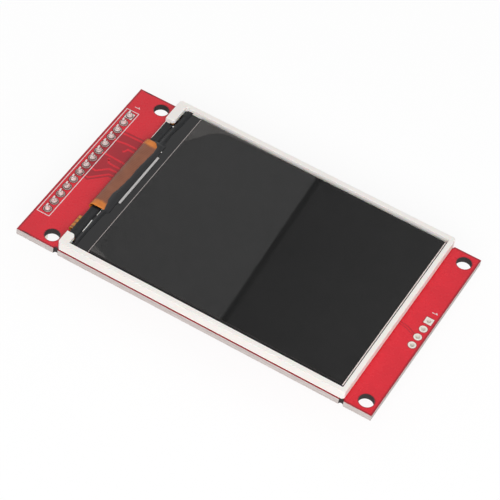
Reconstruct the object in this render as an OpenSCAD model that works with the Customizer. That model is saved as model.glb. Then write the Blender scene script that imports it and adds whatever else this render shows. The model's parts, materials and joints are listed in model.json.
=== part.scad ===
// Colour display module: a red circuit board that carries a framed liquid crystal
// display on its front, a pin header through one end, and a memory card socket with
// its small parts on the back. X runs along the board from the header end (-X) to the
// card pad end (+X), Y across it, and Z up. The origin is at the middle of the four
// corner holes, on the board's front face.

/* [Circuit board] */
// Length of the board
board_l = 86; // [84:0.5:100]
// Width of the board
board_w = 50; // [50:0.5:60]
// Thickness of the board
board_t = 1.6; // [1.2:0.1:2.4]
// Diameter of the corner holes
corner_hole_d = 3.4; // [2.2:0.1:3.6]
// Distance of the corner holes from the header end
corner_hole_from_header_end = 7.1; // [5.5:0.1:8]
// Distance of the corner holes from the card pad end
corner_hole_from_pad_end = 2.7; // [2.5:0.1:4]
// Distance of the corner holes from the long edges
corner_hole_from_side = 2.9; // [2.6:0.1:4]
// Diameter of the half-round notches in the long edges
notch_d = 1.1; // [0.6:0.1:1.6]
// Distance of the notches from the frame's ends, towards the header
notch_shift = 0.4; // [0:0.05:0.6]
// Thickness of the tinned copper that stands above the board
pad_t = 0.05; // [0.04:0.01:0.1]

/* [Pin header] */
// Number of header pins
pin_count = 14; // [4:1:16]
// Distance between pins, and between card pads
pin_pitch = 2.54; // [2.54:0.01:2.6]
// Distance of the pin row from the header end
pin_row_from_end = 2.26; // [2:0.02:2.6]
// Width of a square pin
pin_w = 0.64; // [0.5:0.02:0.66]
// Length of the pins above the board
pin_above = 1.6; // [1.3:0.1:3]
// Length of the pins below the plastic strip
pin_below = 6; // [3:0.5:12]
// Length of the taper at the pin ends
pin_taper = 0.35; // [0.2:0.05:0.5]
// Width of the plastic strip
strip_w = 2.5; // [2.3:0.1:2.8]
// Height of the plastic strip
strip_h = 2.54; // [1.5:0.1:3]
// Chamfer at the waist between two positions of the strip
strip_chamfer = 0.5; // [0.2:0.1:0.6]
// Inner diameter of a plated hole
plated_hole_d = 1; // [0.98:0.01:1.1]
// Wall of the plating in a hole
plating_t = 0.05; // [0.03:0.01:0.1]
// Diameter of the round pads, and width of the square first pad
pad_d = 1.8; // [1.5:0.05:1.9]
// Height of the solder cones
solder_h = 0.95; // [0.5:0.05:1.1]

/* [Card pads] */
// Number of plated holes at the card pad end
card_pad_count = 4; // [2:1:8]
// Distance of the card pads from the board's end
card_pads_from_end = 1.67; // [1.5:0.05:2.5]
// Sideways place of the middle of the card pad row
card_pads_y = -0.2; // [-4:0.1:4]

/* [Display frame] */
// Outer length of the frame
frame_l = 69.2; // [66:0.1:70]
// Distance of the frame's long sides from the board's long edges
frame_inset = 0; // [0:0.1:1]
// Height of the frame
frame_h = 2.3; // [2.3:0.05:3]
// Distance of the frame from the header end of the board
frame_from_header_end = 10.17; // [9.8:0.01:11]
// Width of the long walls beside the glass
side_wall = 1.2; // [0.8:0.1:1.4]
// Width of the wall at the card pad end
end_wall = 1.07; // [0.8:0.01:1.4]
// Width of the low wall at the header end
low_wall = 1; // [0.8:0.05:1.1]
// Height of the low wall and of the ledge under the glass
ledge_h = 1.05; // [1:0.01:1.2]
// Width of the ledge under the glass
ledge_w = 1.3; // [1:0.05:1.4]
// Depth of a corner tab along the board
tab_d = 2.1; // [1.8:0.1:2.4]
// Reach of the tab on the -Y side
near_tab_w = 3.8; // [2.5:0.1:6]
// Reach of the tab on the +Y side
far_tab_w = 6.4; // [2.5:0.1:8]
// Radius of the tabs' inner corner
tab_r = 0.8; // [0.3:0.1:1]
// Chamfer of the frame's outer corners
frame_chamfer = 0.45; // [0.1:0.05:0.8]
// Thickness of the foam tape under the frame
foam_t = 0.45; // [0.45:0.01:0.8]
// Width of one foam strip
foam_w = 9; // [4:0.5:14]
// Distance of the foam strips from the frame's long sides
foam_inset = 1.2; // [0.5:0.1:3]
// Distance of the foam strips from the display flex and from the frame's end
foam_end_gap = 1; // [0.5:0.1:3]

/* [Backlight] */
// Thickness of the reflector sheet
reflector_t = 0.1; // [0.05:0.01:0.12]
// Thickness of the light guide
guide_t = 0.5; // [0.4:0.01:0.52]
// Thickness of one diffuser or prism sheet
sheet_t = 0.09; // [0.05:0.01:0.1]
// Clearance round the light guide and the sheets
sheet_gap = 0.1; // [0.05:0.05:0.3]
// Number of lamps
led_count = 4; // [2:1:8]
// Width of a lamp
led_w = 3.8; // [2:0.1:4]
// Depth of a lamp along the board
led_d = 1; // [0.6:0.1:1.2]
// Height of a lamp
led_h = 0.48; // [0.4:0.02:0.5]
// Clearance behind the lamps and in front of them
led_gap = 0.1; // [0.05:0.05:0.2]
// Thickness of the flexible strips
flex_t = 0.1; // [0.08:0.01:0.12]
// Length of the lamp strip that lies on the light guide
lamp_strip_lap = 1.6; // [0.8:0.1:2]
// Width of the backlight strip's tail
tail_w = 4; // [2:0.1:6]
// Sideways place of the middle of the tail
tail_y = -16.9; // [-17.5:0.1:-15]
// Reach of the tail's bend beyond the frame
tail_reach = 1.05; // [0.7:0.05:1.2]
// Length of the tail that lies under the frame
tail_foot = 3.2; // [1.5:0.1:5]
// Clearance round the tail in the frame's low wall
tail_gap = 0.25; // [0.1:0.05:0.4]

/* [Glass] */
// Gap between the glass and the long walls
glass_side_gap = 0.6; // [0.4:0.1:1.2]
// Thickness of one glass plate
glass_t = 0.4; // [0.3:0.05:0.5]
// Gap between the glass and the wall at the card pad end
glass_end_gap = 0.3; // [0.1:0.05:0.5]
// Distance of the rear glass from the header end of the frame
glass_from_frame_end = 2.78; // [2.6:0.02:5]
// Length of the rear glass that the front glass leaves bare
glass_ledge = 3.6; // [3.2:0.1:5]
// Thickness of a polarizer
polarizer_t = 0.12; // [0.08:0.01:0.16]
// Setback of the front polarizer from the glass edges
polarizer_setback = 0.25; // [0.1:0.05:0.5]
// Setback of the front polarizer at the card pad end
polarizer_end_setback = 0.5; // [0.1:0.05:1]
// Thickness of the tape between the ledge and the glass
rim_tape_t = 0.06; // [0.04:0.01:0.1]
// Width of that tape
rim_tape_w = 0.9; // [0.6:0.05:1]
// Thickness of the protective film
film_t = 0.05; // [0.03:0.01:0.08]
// Setback of the protective film from the polarizer's edges
film_setback = 0.1; // [0:0.05:0.5]

/* [Driver and display flex] */
// Length of the driver chip across the board
chip_l = 15.9; // [10:0.1:20]
// Width of the driver chip
chip_w = 0.5; // [0.4:0.05:1]
// Height of the driver chip
chip_h = 0.28; // [0.2:0.01:0.35]
// Distance of the chip's middle from the front glass
chip_from_glass = 1.75; // [0.8:0.05:1.8]
// Width of the display flex
flex_w = 22.9; // [12:0.1:24]
// Sideways place of the middle of the display flex
flex_y = 0.05; // [-0.6:0.05:1]
// Length of the flex that is bonded to the rear glass
flex_bond = 1.1; // [0.8:0.05:1.2]
// Reach of the flex's bend beyond the frame
flex_reach = 0.75; // [0.6:0.05:1.3]
// Length of the flex that lies on the board
flex_foot = 7; // [5:0.5:9]
// Height of the sealing bead on the flex's bonded edge
bead_h = 0.22; // [0.15:0.01:0.3]
// Length of the bead back over the flex
bead_back = 1.2; // [0.4:0.1:1.5]
// Number of solder pads under the flex
flex_pad_count = 18; // [8:1:20]
// Distance between those pads
flex_pad_pitch = 1; // [0.8:0.05:1.1]
// Length of those pads
flex_pad_l = 2; // [1:0.1:2.5]
// Thickness of the black tape over the lamps
shield_t = 0.06; // [0.04:0.01:0.1]
// Height of the low wall that the black tape leaves bare
shield_bare = 0.18; // [0.1:0.02:0.4]

/* [Card socket] */
// Width of the socket across its mouth
socket_w = 28; // [27.5:0.1:30]
// Depth of the socket from its mouth
socket_d = 27; // [24:0.5:30]
// Distance of the socket's middle from the card pad end
socket_from_pad_end = 23.5; // [21.5:0.5:25]
// Distance of the mouth from the board's +Y edge
socket_from_edge = 0.6; // [0:0.1:2]
// Thickness of the sheet metal shell
shell_t = 0.2; // [0.15:0.01:0.25]
// Thickness of the plastic floor
floor_t = 0.5; // [0.4:0.05:0.8]
// Width of the card slot
slot_w = 24.3; // [24.2:0.1:24.8]
// Height of the card slot
slot_h = 2.2; // [2.2:0.05:2.6]
// Thickness of the rear wall
rear_wall = 1.6; // [1.2:0.1:2.5]
// Number of contact springs
contact_count = 9; // [7:1:9]
// Distance between contact springs
contact_pitch = 2.5; // [2.3:0.05:2.5]
// Width of a contact spring
contact_w = 0.8; // [0.5:0.05:1]
// Thickness of a contact spring
contact_t = 0.2; // [0.15:0.01:0.25]
// Length of a contact's free arm
contact_arm = 6.5; // [4:0.1:8]
// Rise of a contact's bend into the slot
contact_rise = 0.7; // [0.4:0.05:0.9]
// Length of a contact's foot behind the socket
contact_foot = 1.2; // [0.8:0.1:1.6]
// Diameter of the socket's locating pegs
peg_d = 1.5; // [1:0.1:1.8]
// Distance between the two pegs
peg_spacing = 20; // [10:0.5:24]
// Distance of the pegs from the mouth
peg_from_mouth = 6; // [3:0.5:10]
// Clearance between a peg and its hole
peg_gap = 0.05; // [0.03:0.01:0.15]
// Clearance between the shell and the plastic
shell_gap = 0.05; // [0.03:0.01:0.1]
// Length of a shell foot along the board
foot_l = 1.2; // [0.8:0.1:1.6]
// Width of a shell foot
foot_w = 2; // [1:0.1:3]
// Distance of the feet from both ends of the shell
foot_from_end = 3; // [1:0.5:6]
// Diameter of the finger notch at the mouth
finger_notch_d = 9; // [6:0.5:14]
// Width of a card spring cut free in the shell
card_spring_w = 3; // [2:0.1:4]
// Length of a card spring
card_spring_l = 9; // [5:0.5:11]
// Distance between the two card springs
card_spring_spacing = 16; // [8:0.5:18]
// Width of the cuts round the card springs
spring_cut = 0.6; // [0.4:0.1:1]
// Length of a window over the contacts
window_l = 8.4; // [4:0.1:10]
// Width of a window over the contacts
window_w = 2; // [1:0.1:3]
// Distance between the two windows' middles
window_spacing = 12; // [10.5:0.5:14]
// Distance of the windows from the back of the shell
window_from_back = 3.5; // [2:0.1:5]
// Distance of the card leaf's recess from the mouth
leaf_from_mouth = 12; // [8:0.5:14]
// Length of the recess for the card leaf
leaf_recess = 6; // [6:0.1:8]

/* [Small parts] */
// Number of chip resistors in the row beside the socket
resistor_count = 6; // [2:1:8]
// Distance between neighbouring chips
chip_pitch = 1.9; // [1.8:0.1:3]
// Length of a chip resistor
resistor_l = 1.6; // [1.2:0.1:2]
// Width of a chip resistor
resistor_w = 0.8; // [0.5:0.05:1]
// Height of a chip resistor
resistor_h = 0.45; // [0.3:0.05:0.6]
// Number of chip resistors that feed the lamps
lamp_resistor_count = 4; // [2:1:5]
// Number of chip capacitors
capacitor_count = 4; // [2:1:5]
// Length of a chip capacitor
capacitor_l = 2; // [1.6:0.1:2.2]
// Width of a chip capacitor
capacitor_w = 1.25; // [0.8:0.05:1.5]
// Height of a chip capacitor
capacitor_h = 0.9; // [0.5:0.05:1.3]
// Length of a chip's metal end
chip_end = 0.35; // [0.2:0.05:0.5]
// Thickness of a chip's metal end
chip_end_t = 0.04; // [0.02:0.01:0.08]
// Distance of the resistor row from the socket
resistor_gap = 5; // [2:0.5:8]
// Sideways place of the first resistor of the row
resistor_y = -10; // [-12:0.5:0]
// Distance of the regulator from the header end
regulator_from_end = 14; // [10:0.5:16]
// Sideways place of the regulator
regulator_y = 13.5; // [8:0.5:14]
// Distance of the capacitors from the regulator
capacitor_gap = 7; // [6:0.5:9]
// Distance between capacitors along the board
capacitor_spacing_x = 4; // [3:0.5:6]
// Distance between capacitors across the board
capacitor_spacing_y = 3; // [2:0.5:4]
// Sideways place of the first capacitors
capacitor_y = 12; // [8:0.5:14]
// Distance of the transistor from the header end
transistor_from_end = 13; // [10:0.5:16]
// Sideways place of the transistor
transistor_y = -13; // [-14:0.5:-10]
// Distance of the lamp resistors from the transistor
lamp_resistor_gap = 6; // [4:0.5:8]
// Sideways place of the first lamp resistor
lamp_resistor_y = -17; // [-18:0.5:-14]
// Length of the regulator's body
regulator_l = 4.5; // [4:0.1:5]
// Width of the regulator's body
regulator_w = 2.5; // [2:0.1:3]
// Height of the regulator's body
regulator_h = 1.5; // [1:0.1:1.8]
// Length of the transistor's body
transistor_l = 2.9; // [2.4:0.1:3.2]
// Width of the transistor's body
transistor_w = 1.3; // [1.1:0.1:1.7]
// Height of the transistor's body
transistor_h = 1; // [0.8:0.1:1.2]
// Thickness of the leads of both
lead_t = 0.15; // [0.1:0.01:0.2]

/* [Hidden] */
$fn = 48;
// Overshoot of cutting shapes beyond the faces that they cut
over = 1;

// Ends and faces of the board
header_end = -(board_l + corner_hole_from_header_end - corner_hole_from_pad_end) / 2;
pad_end = header_end + board_l;
back = -board_t;

// Places of the corner holes
hole_x = [header_end + corner_hole_from_header_end, pad_end - corner_hole_from_pad_end];
hole_y = board_w / 2 - corner_hole_from_side;

// Pin row and card pad row
pin_x = header_end + pin_row_from_end;
pin_y = [for (i = [0:pin_count - 1]) ((pin_count - 1) / 2 - i) * pin_pitch];
card_pad_x = pad_end - card_pads_from_end;
card_pad_y = [for (i = [0:card_pad_count - 1])
              card_pads_y + ((card_pad_count - 1) / 2 - i) * pin_pitch];
drill_d = plated_hole_d + 2 * plating_t;
strip_top = back - pad_t;
strip_bottom = strip_top - strip_h;
pin_bottom = strip_bottom - pin_below;

// Frame faces
frame_x0 = header_end + frame_from_header_end;
frame_x1 = frame_x0 + frame_l;
frame_y = board_w / 2 - frame_inset;
notch_x = [frame_x0 - notch_shift, frame_x1 - notch_shift];
frame_z0 = foam_t;
frame_top = frame_z0 + frame_h;
ledge_z = frame_z0 + ledge_h;
pocket_x1 = frame_x1 - end_wall;
pocket_y = frame_y - side_wall;
well_x0 = frame_x0 + low_wall;
well_x1 = pocket_x1 - ledge_w;
well_y = pocket_y - ledge_w;
// Rebate under the frame that the reflector sheet fills
rebate = ledge_w / 2;

// Backlight heights, from the reflector up
guide_z = frame_z0 + reflector_t;
diffuser_z = guide_z + guide_t;
lower_prism_z = diffuser_z + sheet_t;
upper_prism_z = lower_prism_z + sheet_t;
lamp_strip_z = guide_z + guide_t;
led_z = lamp_strip_z - led_h;
led_x0 = well_x0 + led_gap;
guide_x0 = led_x0 + led_d + led_gap;
lamp_strip_x0 = well_x0 + sheet_gap;
lamp_strip_x1 = guide_x0 + lamp_strip_lap;
sheet_x0 = lamp_strip_x1 + sheet_gap;
sheet_x1 = well_x1 - sheet_gap;
sheet_y = well_y - sheet_gap;

// Glass heights and edges
rear_glass_z = ledge_z + rim_tape_t;
front_glass_z = rear_glass_z + glass_t;
polarizer_z = front_glass_z + glass_t;
film_z = polarizer_z + polarizer_t;
glass_x1 = pocket_x1 - glass_end_gap;
rear_glass_x0 = frame_x0 + glass_from_frame_end;
front_glass_x0 = rear_glass_x0 + glass_ledge;
glass_y = pocket_y - glass_side_gap;
chip_x = front_glass_x0 - chip_from_glass;

// Display flex: it lies on the rear glass, turns down past the frame's low wall and
// comes back between the frame and the board
flex_top_z = front_glass_z;
flex_foot_z = pad_t;
flex_bend_r = (flex_top_z + flex_t - flex_foot_z) / 2;
flex_bend_x = frame_x0 - flex_reach + flex_bend_r;
flex_y0 = flex_y - flex_w / 2;
flex_y1 = flex_y + flex_w / 2;
flex_pads_x1 = flex_bend_x + flex_foot;
foam_x0 = flex_pads_x1 + foam_end_gap;
foam_x1 = frame_x1 - foam_end_gap;

// Tail of the backlight strip, which turns down in the same way
tail_bend_r = (lamp_strip_z + flex_t - flex_foot_z) / 2;
tail_bend_x = frame_x0 - tail_reach + tail_bend_r;

// Socket faces. It is drawn with its mouth towards -Y, and turned over to face +Y.
socket_x = pad_end - socket_from_pad_end;
socket_y0 = -board_w / 2 + socket_from_edge;
socket_y1 = socket_y0 + socket_d;
floor_z = back - floor_t;
slot_z = floor_z - slot_h;
shell_z = slot_z - shell_t;
base_half_w = socket_w / 2 - shell_t - shell_gap;
contact_y1 = socket_y1 - rear_wall;
contact_x = [for (i = [0:contact_count - 1])
             socket_x + (i - (contact_count - 1) / 2) * contact_pitch];
leaf_y = socket_y0 + leaf_from_mouth;

// Small parts on the back, beside the header and the socket
regulator_at = [header_end + regulator_from_end, regulator_y];
transistor_at = [header_end + transistor_from_end, transistor_y];
resistor_row = [socket_x - socket_w / 2 - resistor_gap, resistor_y];
lamp_resistor_row = [transistor_at[0] + lamp_resistor_gap, lamp_resistor_y];
capacitor_row = [regulator_at[0] + capacitor_gap, capacitor_y];

module slab(x0, x1, y0, y1, z0, z1) {
    translate([x0, y0, z0]) cube([x1 - x0, y1 - y0, z1 - z0]);
}

// An outline in X and Z, drawn along Y from y0 to y1
module along_y(y0, y1) {
    translate([0, y1, 0]) rotate([90, 0, 0]) linear_extrude(y1 - y0) children();
}

module at_pins() {
    for (y = pin_y) translate([pin_x, y, 0]) children();
}

module at_pegs() {
    for (side = [-1, 1])
        translate([socket_x + side * peg_spacing / 2, socket_y0 + peg_from_mouth, 0]) children();
}

// Turns the socket's pieces over, so that the mouth faces +Y
module facing_mouth() {
    mirror([0, 1, 0]) children();
}

// ---- Board ----
module circuit_board() {
    color([0.85, 0.24, 0.27])
    difference() {
        slab(header_end, pad_end, -board_w / 2, board_w / 2, back, 0);
        for (x = hole_x, side = [-1, 1])
            translate([x, side * hole_y, back - over])
                cylinder(d = corner_hole_d, h = board_t + 2 * over);
        for (x = notch_x, side = [-1, 1])
            translate([x, side * board_w / 2, back - over])
                cylinder(d = notch_d, h = board_t + 2 * over);
        at_pins() translate([0, 0, back - over]) cylinder(d = drill_d, h = board_t + 2 * over);
        for (y = card_pad_y)
            translate([card_pad_x, y, back - over]) cylinder(d = drill_d, h = board_t + 2 * over);
        facing_mouth() at_pegs() translate([0, 0, back - over])
            cylinder(d = peg_d + 2 * peg_gap, h = board_t + 2 * over);
    }
}

// Copper plating of one hole with a pad on each face of the board
module plated_hole(square_pad) {
    difference() {
        union() {
            translate([0, 0, back]) cylinder(d = drill_d, h = board_t);
            for (z = [back - pad_t, 0])
                translate([0, 0, z])
                    if (square_pad)
                        translate([-pad_d / 2, -pad_d / 2, 0]) cube([pad_d, pad_d, pad_t]);
                    else
                        cylinder(d = pad_d, h = pad_t);
        }
        translate([0, 0, back - over]) cylinder(d = plated_hole_d, h = board_t + 2 * over);
    }
}

module header_pads() {
    color([0.8, 0.78, 0.72])
    for (i = [0:pin_count - 1]) translate([pin_x, pin_y[i], 0]) plated_hole(i == 0);
}

module card_pads() {
    color([0.8, 0.78, 0.72])
    for (i = [0:card_pad_count - 1]) translate([card_pad_x, card_pad_y[i], 0]) plated_hole(i == 0);
}

module flex_pads() {
    color([0.8, 0.78, 0.72])
    for (i = [0:flex_pad_count - 1])
        translate([flex_pads_x1 - flex_pad_l,
                   flex_y + (i - (flex_pad_count - 1) / 2) * flex_pad_pitch - flex_pad_pitch / 4, 0])
            cube([flex_pad_l, flex_pad_pitch / 2, pad_t]);
}

// ---- Pin header ----
module strip_outline() {
    side = strip_w / 2;
    c = strip_chamfer;
    half = pin_pitch / 2;
    polygon(concat(
        [for (y = pin_y, p = [[side - c, half], [side, half - c], [side, c - half], [side - c, -half]])
         [p[0], y + p[1]]],
        [for (i = [pin_count - 1:-1:0],
              p = [[c - side, -half], [-side, c - half], [-side, half - c], [c - side, half]])
         [p[0], pin_y[i] + p[1]]]));
}

module header_strip() {
    color([0.08, 0.08, 0.09])
    difference() {
        translate([pin_x, 0, strip_bottom]) linear_extrude(strip_h) strip_outline();
        at_pins() translate([-pin_w / 2, -pin_w / 2, strip_bottom - over])
            cube([pin_w, pin_w, strip_h + 2 * over]);
    }
}

// Side view of a pin, tapered at both ends
module pin_profile() {
    w = pin_w / 2;
    tip = pin_w / 4;
    polygon([[-tip, pin_bottom], [tip, pin_bottom], [w, pin_bottom + pin_taper],
             [w, pin_above - pin_taper], [tip, pin_above], [-tip, pin_above],
             [-w, pin_above - pin_taper], [-w, pin_bottom + pin_taper]]);
}

module header_pins() {
    color([0.85, 0.8, 0.65])
    at_pins() intersection() {
        along_y(-pin_w / 2, pin_w / 2) pin_profile();
        rotate([0, 0, 90]) along_y(-pin_w / 2, pin_w / 2) pin_profile();
    }
}

// Solder fills the plated hole round a pin and rises up the pin in a hollow cone
module header_solder() {
    neck = pin_w * 0.72;
    foot = pad_d / 2 - 0.06;
    bore = plated_hole_d / 2;
    color([0.75, 0.75, 0.74])
    at_pins() difference() {
        rotate_extrude() polygon([[0, back], [bore, back], [bore, pad_t], [foot, pad_t],
            [foot * 0.84, solder_h * 0.22], [foot * 0.68, solder_h * 0.5],
            [neck + 0.03, solder_h * 0.85], [neck, solder_h], [0, solder_h]]);
        translate([-pin_w / 2, -pin_w / 2, back - over])
            cube([pin_w, pin_w, board_t + solder_h + 2 * over]);
    }
}

// ---- Display frame and its tape ----
module mounting_tape() {
    y1 = frame_y - foam_inset;
    color([0.2, 0.2, 0.2])
    for (side = [-1, 1])
        slab(foam_x0, foam_x1, side * y1 - (side > 0 ? foam_w : 0), side * y1 + (side > 0 ? 0 : foam_w),
             0, foam_t);
}

module frame_outline() {
    c = frame_chamfer;
    polygon([[frame_x0 + c, -frame_y], [frame_x1 - c, -frame_y], [frame_x1, c - frame_y],
             [frame_x1, frame_y - c], [frame_x1 - c, frame_y], [frame_x0 + c, frame_y],
             [frame_x0, frame_y - c], [frame_x0, c - frame_y]]);
}

// Corner tab with a round inner corner; side is -1 or 1
module tab_outline(reach, side) {
    y0 = frame_y - reach;
    x1 = frame_x0 + tab_d;
    scale([1, side]) {
        translate([frame_x0, y0]) square([tab_d - tab_r, reach]);
        translate([frame_x0, y0 + tab_r]) square([tab_d, reach - tab_r]);
        translate([x1 - tab_r, y0 + tab_r]) circle(r = tab_r);
    }
}

module display_frame() {
    color([0.95, 0.93, 0.9])
    difference() {
        union() {
            difference() {
                translate([0, 0, frame_z0]) linear_extrude(frame_h) frame_outline();
                slab(frame_x0 - over, pocket_x1, -pocket_y, pocket_y, ledge_z, frame_top + over);
            }
            intersection() {
                translate([0, 0, ledge_z]) linear_extrude(frame_top - ledge_z) frame_outline();
                translate([0, 0, ledge_z]) linear_extrude(frame_top - ledge_z) {
                    tab_outline(near_tab_w, -1);
                    tab_outline(far_tab_w, 1);
                }
            }
        }
        slab(well_x0, well_x1, -well_y, well_y, frame_z0 - over, ledge_z + over / 4);
        slab(well_x0 - rebate, well_x1 + rebate, -well_y - rebate, well_y + rebate,
             frame_z0 - over, guide_z);
        slab(frame_x0 - over, well_x0 + over, tail_y - tail_w / 2 - tail_gap,
             tail_y + tail_w / 2 + tail_gap, lamp_strip_z - tail_gap / 2, frame_top);
    }
}

// ---- Backlight ----
module reflector_sheet() {
    color([0.9, 0.92, 0.95])
    slab(well_x0 - rebate + sheet_gap / 2, well_x1 + rebate - sheet_gap / 2,
         -well_y - rebate + sheet_gap / 2, well_y + rebate - sheet_gap / 2, frame_z0, guide_z);
}

module light_guide() {
    color([0.88, 0.93, 0.97, 0.6])
    slab(guide_x0, sheet_x1, -sheet_y, sheet_y, guide_z, diffuser_z);
}

module sheet(z) {
    slab(sheet_x0, sheet_x1, -sheet_y, sheet_y, z, z + sheet_t);
}

module diffuser_sheet() {
    color([0.93, 0.93, 0.93]) sheet(diffuser_z);
}

module lower_prism_sheet() {
    color([0.8, 0.84, 0.88]) sheet(lower_prism_z);
}

module upper_prism_sheet() {
    color([0.76, 0.8, 0.86]) sheet(upper_prism_z);
}

// A flexible strip's turn from a high level round to the board, as an outline in X and Z
module turn(x, r, z0) {
    translate([x, z0 + r]) intersection() {
        difference() {
            circle(r = r);
            circle(r = r - flex_t);
        }
        translate([-r - over, -r - over]) square([r + over, 2 * (r + over)]);
    }
}

module backlight_flex() {
    color([0.82, 0.5, 0.16]) {
        slab(lamp_strip_x0, lamp_strip_x1, -sheet_y, sheet_y, lamp_strip_z, lamp_strip_z + flex_t);
        along_y(tail_y - tail_w / 2, tail_y + tail_w / 2) {
            translate([tail_bend_x, lamp_strip_z])
                square([lamp_strip_x0 - tail_bend_x + sheet_gap, flex_t]);
            turn(tail_bend_x, tail_bend_r, flex_foot_z);
            translate([tail_bend_x, flex_foot_z]) square([tail_foot, flex_t]);
        }
    }
}

module backlight_leds() {
    color([0.97, 0.95, 0.8])
    for (i = [0:led_count - 1]) {
        y = (i - (led_count - 1) / 2) * 2 * sheet_y / led_count;
        slab(led_x0, led_x0 + led_d, y - led_w / 2, y + led_w / 2, led_z, lamp_strip_z);
    }
}

// Black tape from the glass edge over the lamps, turned down on the low wall
module light_shield_tape() {
    x1 = rear_glass_x0 - sheet_gap;
    y0 = -frame_y + near_tab_w + sheet_gap;
    y1 = frame_y - far_tab_w - sheet_gap;
    color([0.12, 0.12, 0.13])
    difference() {
        union() {
            slab(frame_x0 - shield_t, x1, y0, y1, ledge_z, ledge_z + shield_t);
            slab(frame_x0 - shield_t, frame_x0, y0, y1, frame_z0 + shield_bare, ledge_z + shield_t);
        }
        slab(frame_x0 - over, frame_x0, tail_y - tail_w / 2 - tail_gap,
             tail_y + tail_w / 2 + tail_gap, frame_z0, ledge_z);
    }
}

// ---- Glass ----
module rim_tape() {
    y = pocket_y - sheet_gap;
    x0 = rear_glass_x0;
    x1 = pocket_x1 - sheet_gap;
    color([0.1, 0.1, 0.1])
    difference() {
        slab(x0, x1, -y, y, ledge_z, rear_glass_z);
        slab(x0 + rim_tape_w, x1 - ledge_w, sheet_gap - well_y, well_y - sheet_gap,
             ledge_z - over, rear_glass_z + over);
    }
}

// The rear polarizer hangs under the rear glass, inside the rim tape
module rear_polarizer() {
    color([0.35, 0.35, 0.38])
    slab(front_glass_x0, sheet_x1 - sheet_gap, sheet_gap - sheet_y, sheet_y - sheet_gap,
         rear_glass_z - polarizer_t, rear_glass_z);
}

module rear_glass() {
    color([0.3, 0.32, 0.34])
    slab(rear_glass_x0, glass_x1, -glass_y, glass_y, rear_glass_z, front_glass_z);
}

module driver_chip() {
    color([0.72, 0.71, 0.7])
    slab(chip_x - chip_w / 2, chip_x + chip_w / 2, -chip_l / 2, chip_l / 2,
         front_glass_z, front_glass_z + chip_h);
}

module front_glass() {
    color([0.26, 0.27, 0.28])
    slab(front_glass_x0, glass_x1, -glass_y, glass_y, front_glass_z, polarizer_z);
}

module front_polarizer() {
    s = polarizer_setback;
    color([0.2, 0.2, 0.21])
    slab(front_glass_x0 + s, glass_x1 - polarizer_end_setback, s - glass_y, glass_y - s,
         polarizer_z, film_z);
}

module protective_film() {
    s = polarizer_setback + film_setback;
    color([0.5, 0.5, 0.52, 0.4])
    slab(front_glass_x0 + s, glass_x1 - polarizer_end_setback - film_setback,
         s - glass_y, glass_y - s, film_z, film_z + film_t);
}

module display_flex() {
    color([0.72, 0.42, 0.2])
    along_y(flex_y0, flex_y1) {
        translate([flex_bend_x, flex_top_z])
            square([rear_glass_x0 + flex_bond - flex_bend_x, flex_t]);
        turn(flex_bend_x, flex_bend_r, flex_foot_z);
        translate([flex_bend_x, flex_foot_z]) square([flex_foot, flex_t]);
    }
}

// Bead that seals the edge where the flex is bonded to the rear glass
module flex_sealant() {
    x = rear_glass_x0 + flex_bond;
    color([0.13, 0.13, 0.14])
    along_y(flex_y0, flex_y1)
        polygon([[x, flex_top_z], [x + bead_h, flex_top_z], [x, flex_top_z + bead_h],
                 [x - bead_back * 0.7, flex_top_z + flex_t + (bead_h - flex_t) * 0.7],
                 [x - bead_back, flex_top_z + flex_t], [x, flex_top_z + flex_t]]);
}

// ---- Card socket ----
module socket_base() {
    half = base_half_w;
    setback = 1;
    side_gap = 0.2;
    leaf_h = 1.2;
    color([0.1, 0.1, 0.11])
    facing_mouth() difference() {
        union() {
            slab(socket_x - half, socket_x + half, socket_y0 + setback, socket_y1, slot_z, back);
            at_pegs() translate([0, 0, back]) cylinder(d = peg_d, h = board_t * 0.7);
        }
        slab(socket_x - slot_w / 2, socket_x + slot_w / 2, socket_y0, contact_y1,
             slot_z - over, floor_z);
        for (x = contact_x)
            slab(x - contact_w / 2 - side_gap, x + contact_w / 2 + side_gap,
                 contact_y1 - contact_arm - setback, socket_y1 + over, floor_z - contact_t, back + over);
        slab(socket_x + slot_w / 2 - over, socket_x + half + over, leaf_y, leaf_y + leaf_recess,
             floor_z - leaf_h, floor_z);
    }
}

// A cut through the sheet of the shell that covers the slot
module shell_cut(x0, x1, y0, y1) {
    slab(x0, x1, y0, y1, shell_z - over, slot_z + shell_gap);
}

module socket_shell() {
    half = socket_w / 2;
    y0 = socket_y0;
    y1 = socket_y1;
    spring_y = y0 + peg_from_mouth + 2;
    color([0.82, 0.82, 0.8])
    facing_mouth() difference() {
        union() {
            difference() {
                slab(socket_x - half, socket_x + half, y0, y1, shell_z, back);
                slab(socket_x - half + shell_t, socket_x + half - shell_t, y0 - over, y1 + over,
                     slot_z, back + over);
            }
            for (side = [-1, 1], y = [y0 + foot_from_end, y1 - foot_from_end - foot_w]) {
                x = socket_x + side * half;
                slab(min(x, x + side * foot_l), max(x, x + side * foot_l), y, y + foot_w,
                     back - shell_t, back);
            }
        }
        // finger notch at the mouth
        translate([socket_x, y0, shell_z - over]) cylinder(d = finger_notch_d, h = shell_t + 2 * over);
        // two card springs, cut free on three sides
        for (side = [-1, 1]) {
            x = socket_x + side * card_spring_spacing / 2;
            w = card_spring_w / 2;
            for (edge = [-1, 1])
                shell_cut(x + edge * w - spring_cut / 2, x + edge * w + spring_cut / 2,
                          spring_y, spring_y + card_spring_l);
            shell_cut(x - w, x + w, spring_y, spring_y + spring_cut);
        }
        // inspection windows over the contacts
        for (side = [-1, 1]) {
            x = socket_x + side * window_spacing / 2;
            shell_cut(x - window_l / 2, x + window_l / 2,
                      y1 - window_from_back - window_w, y1 - window_from_back);
        }
    }
}

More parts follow.
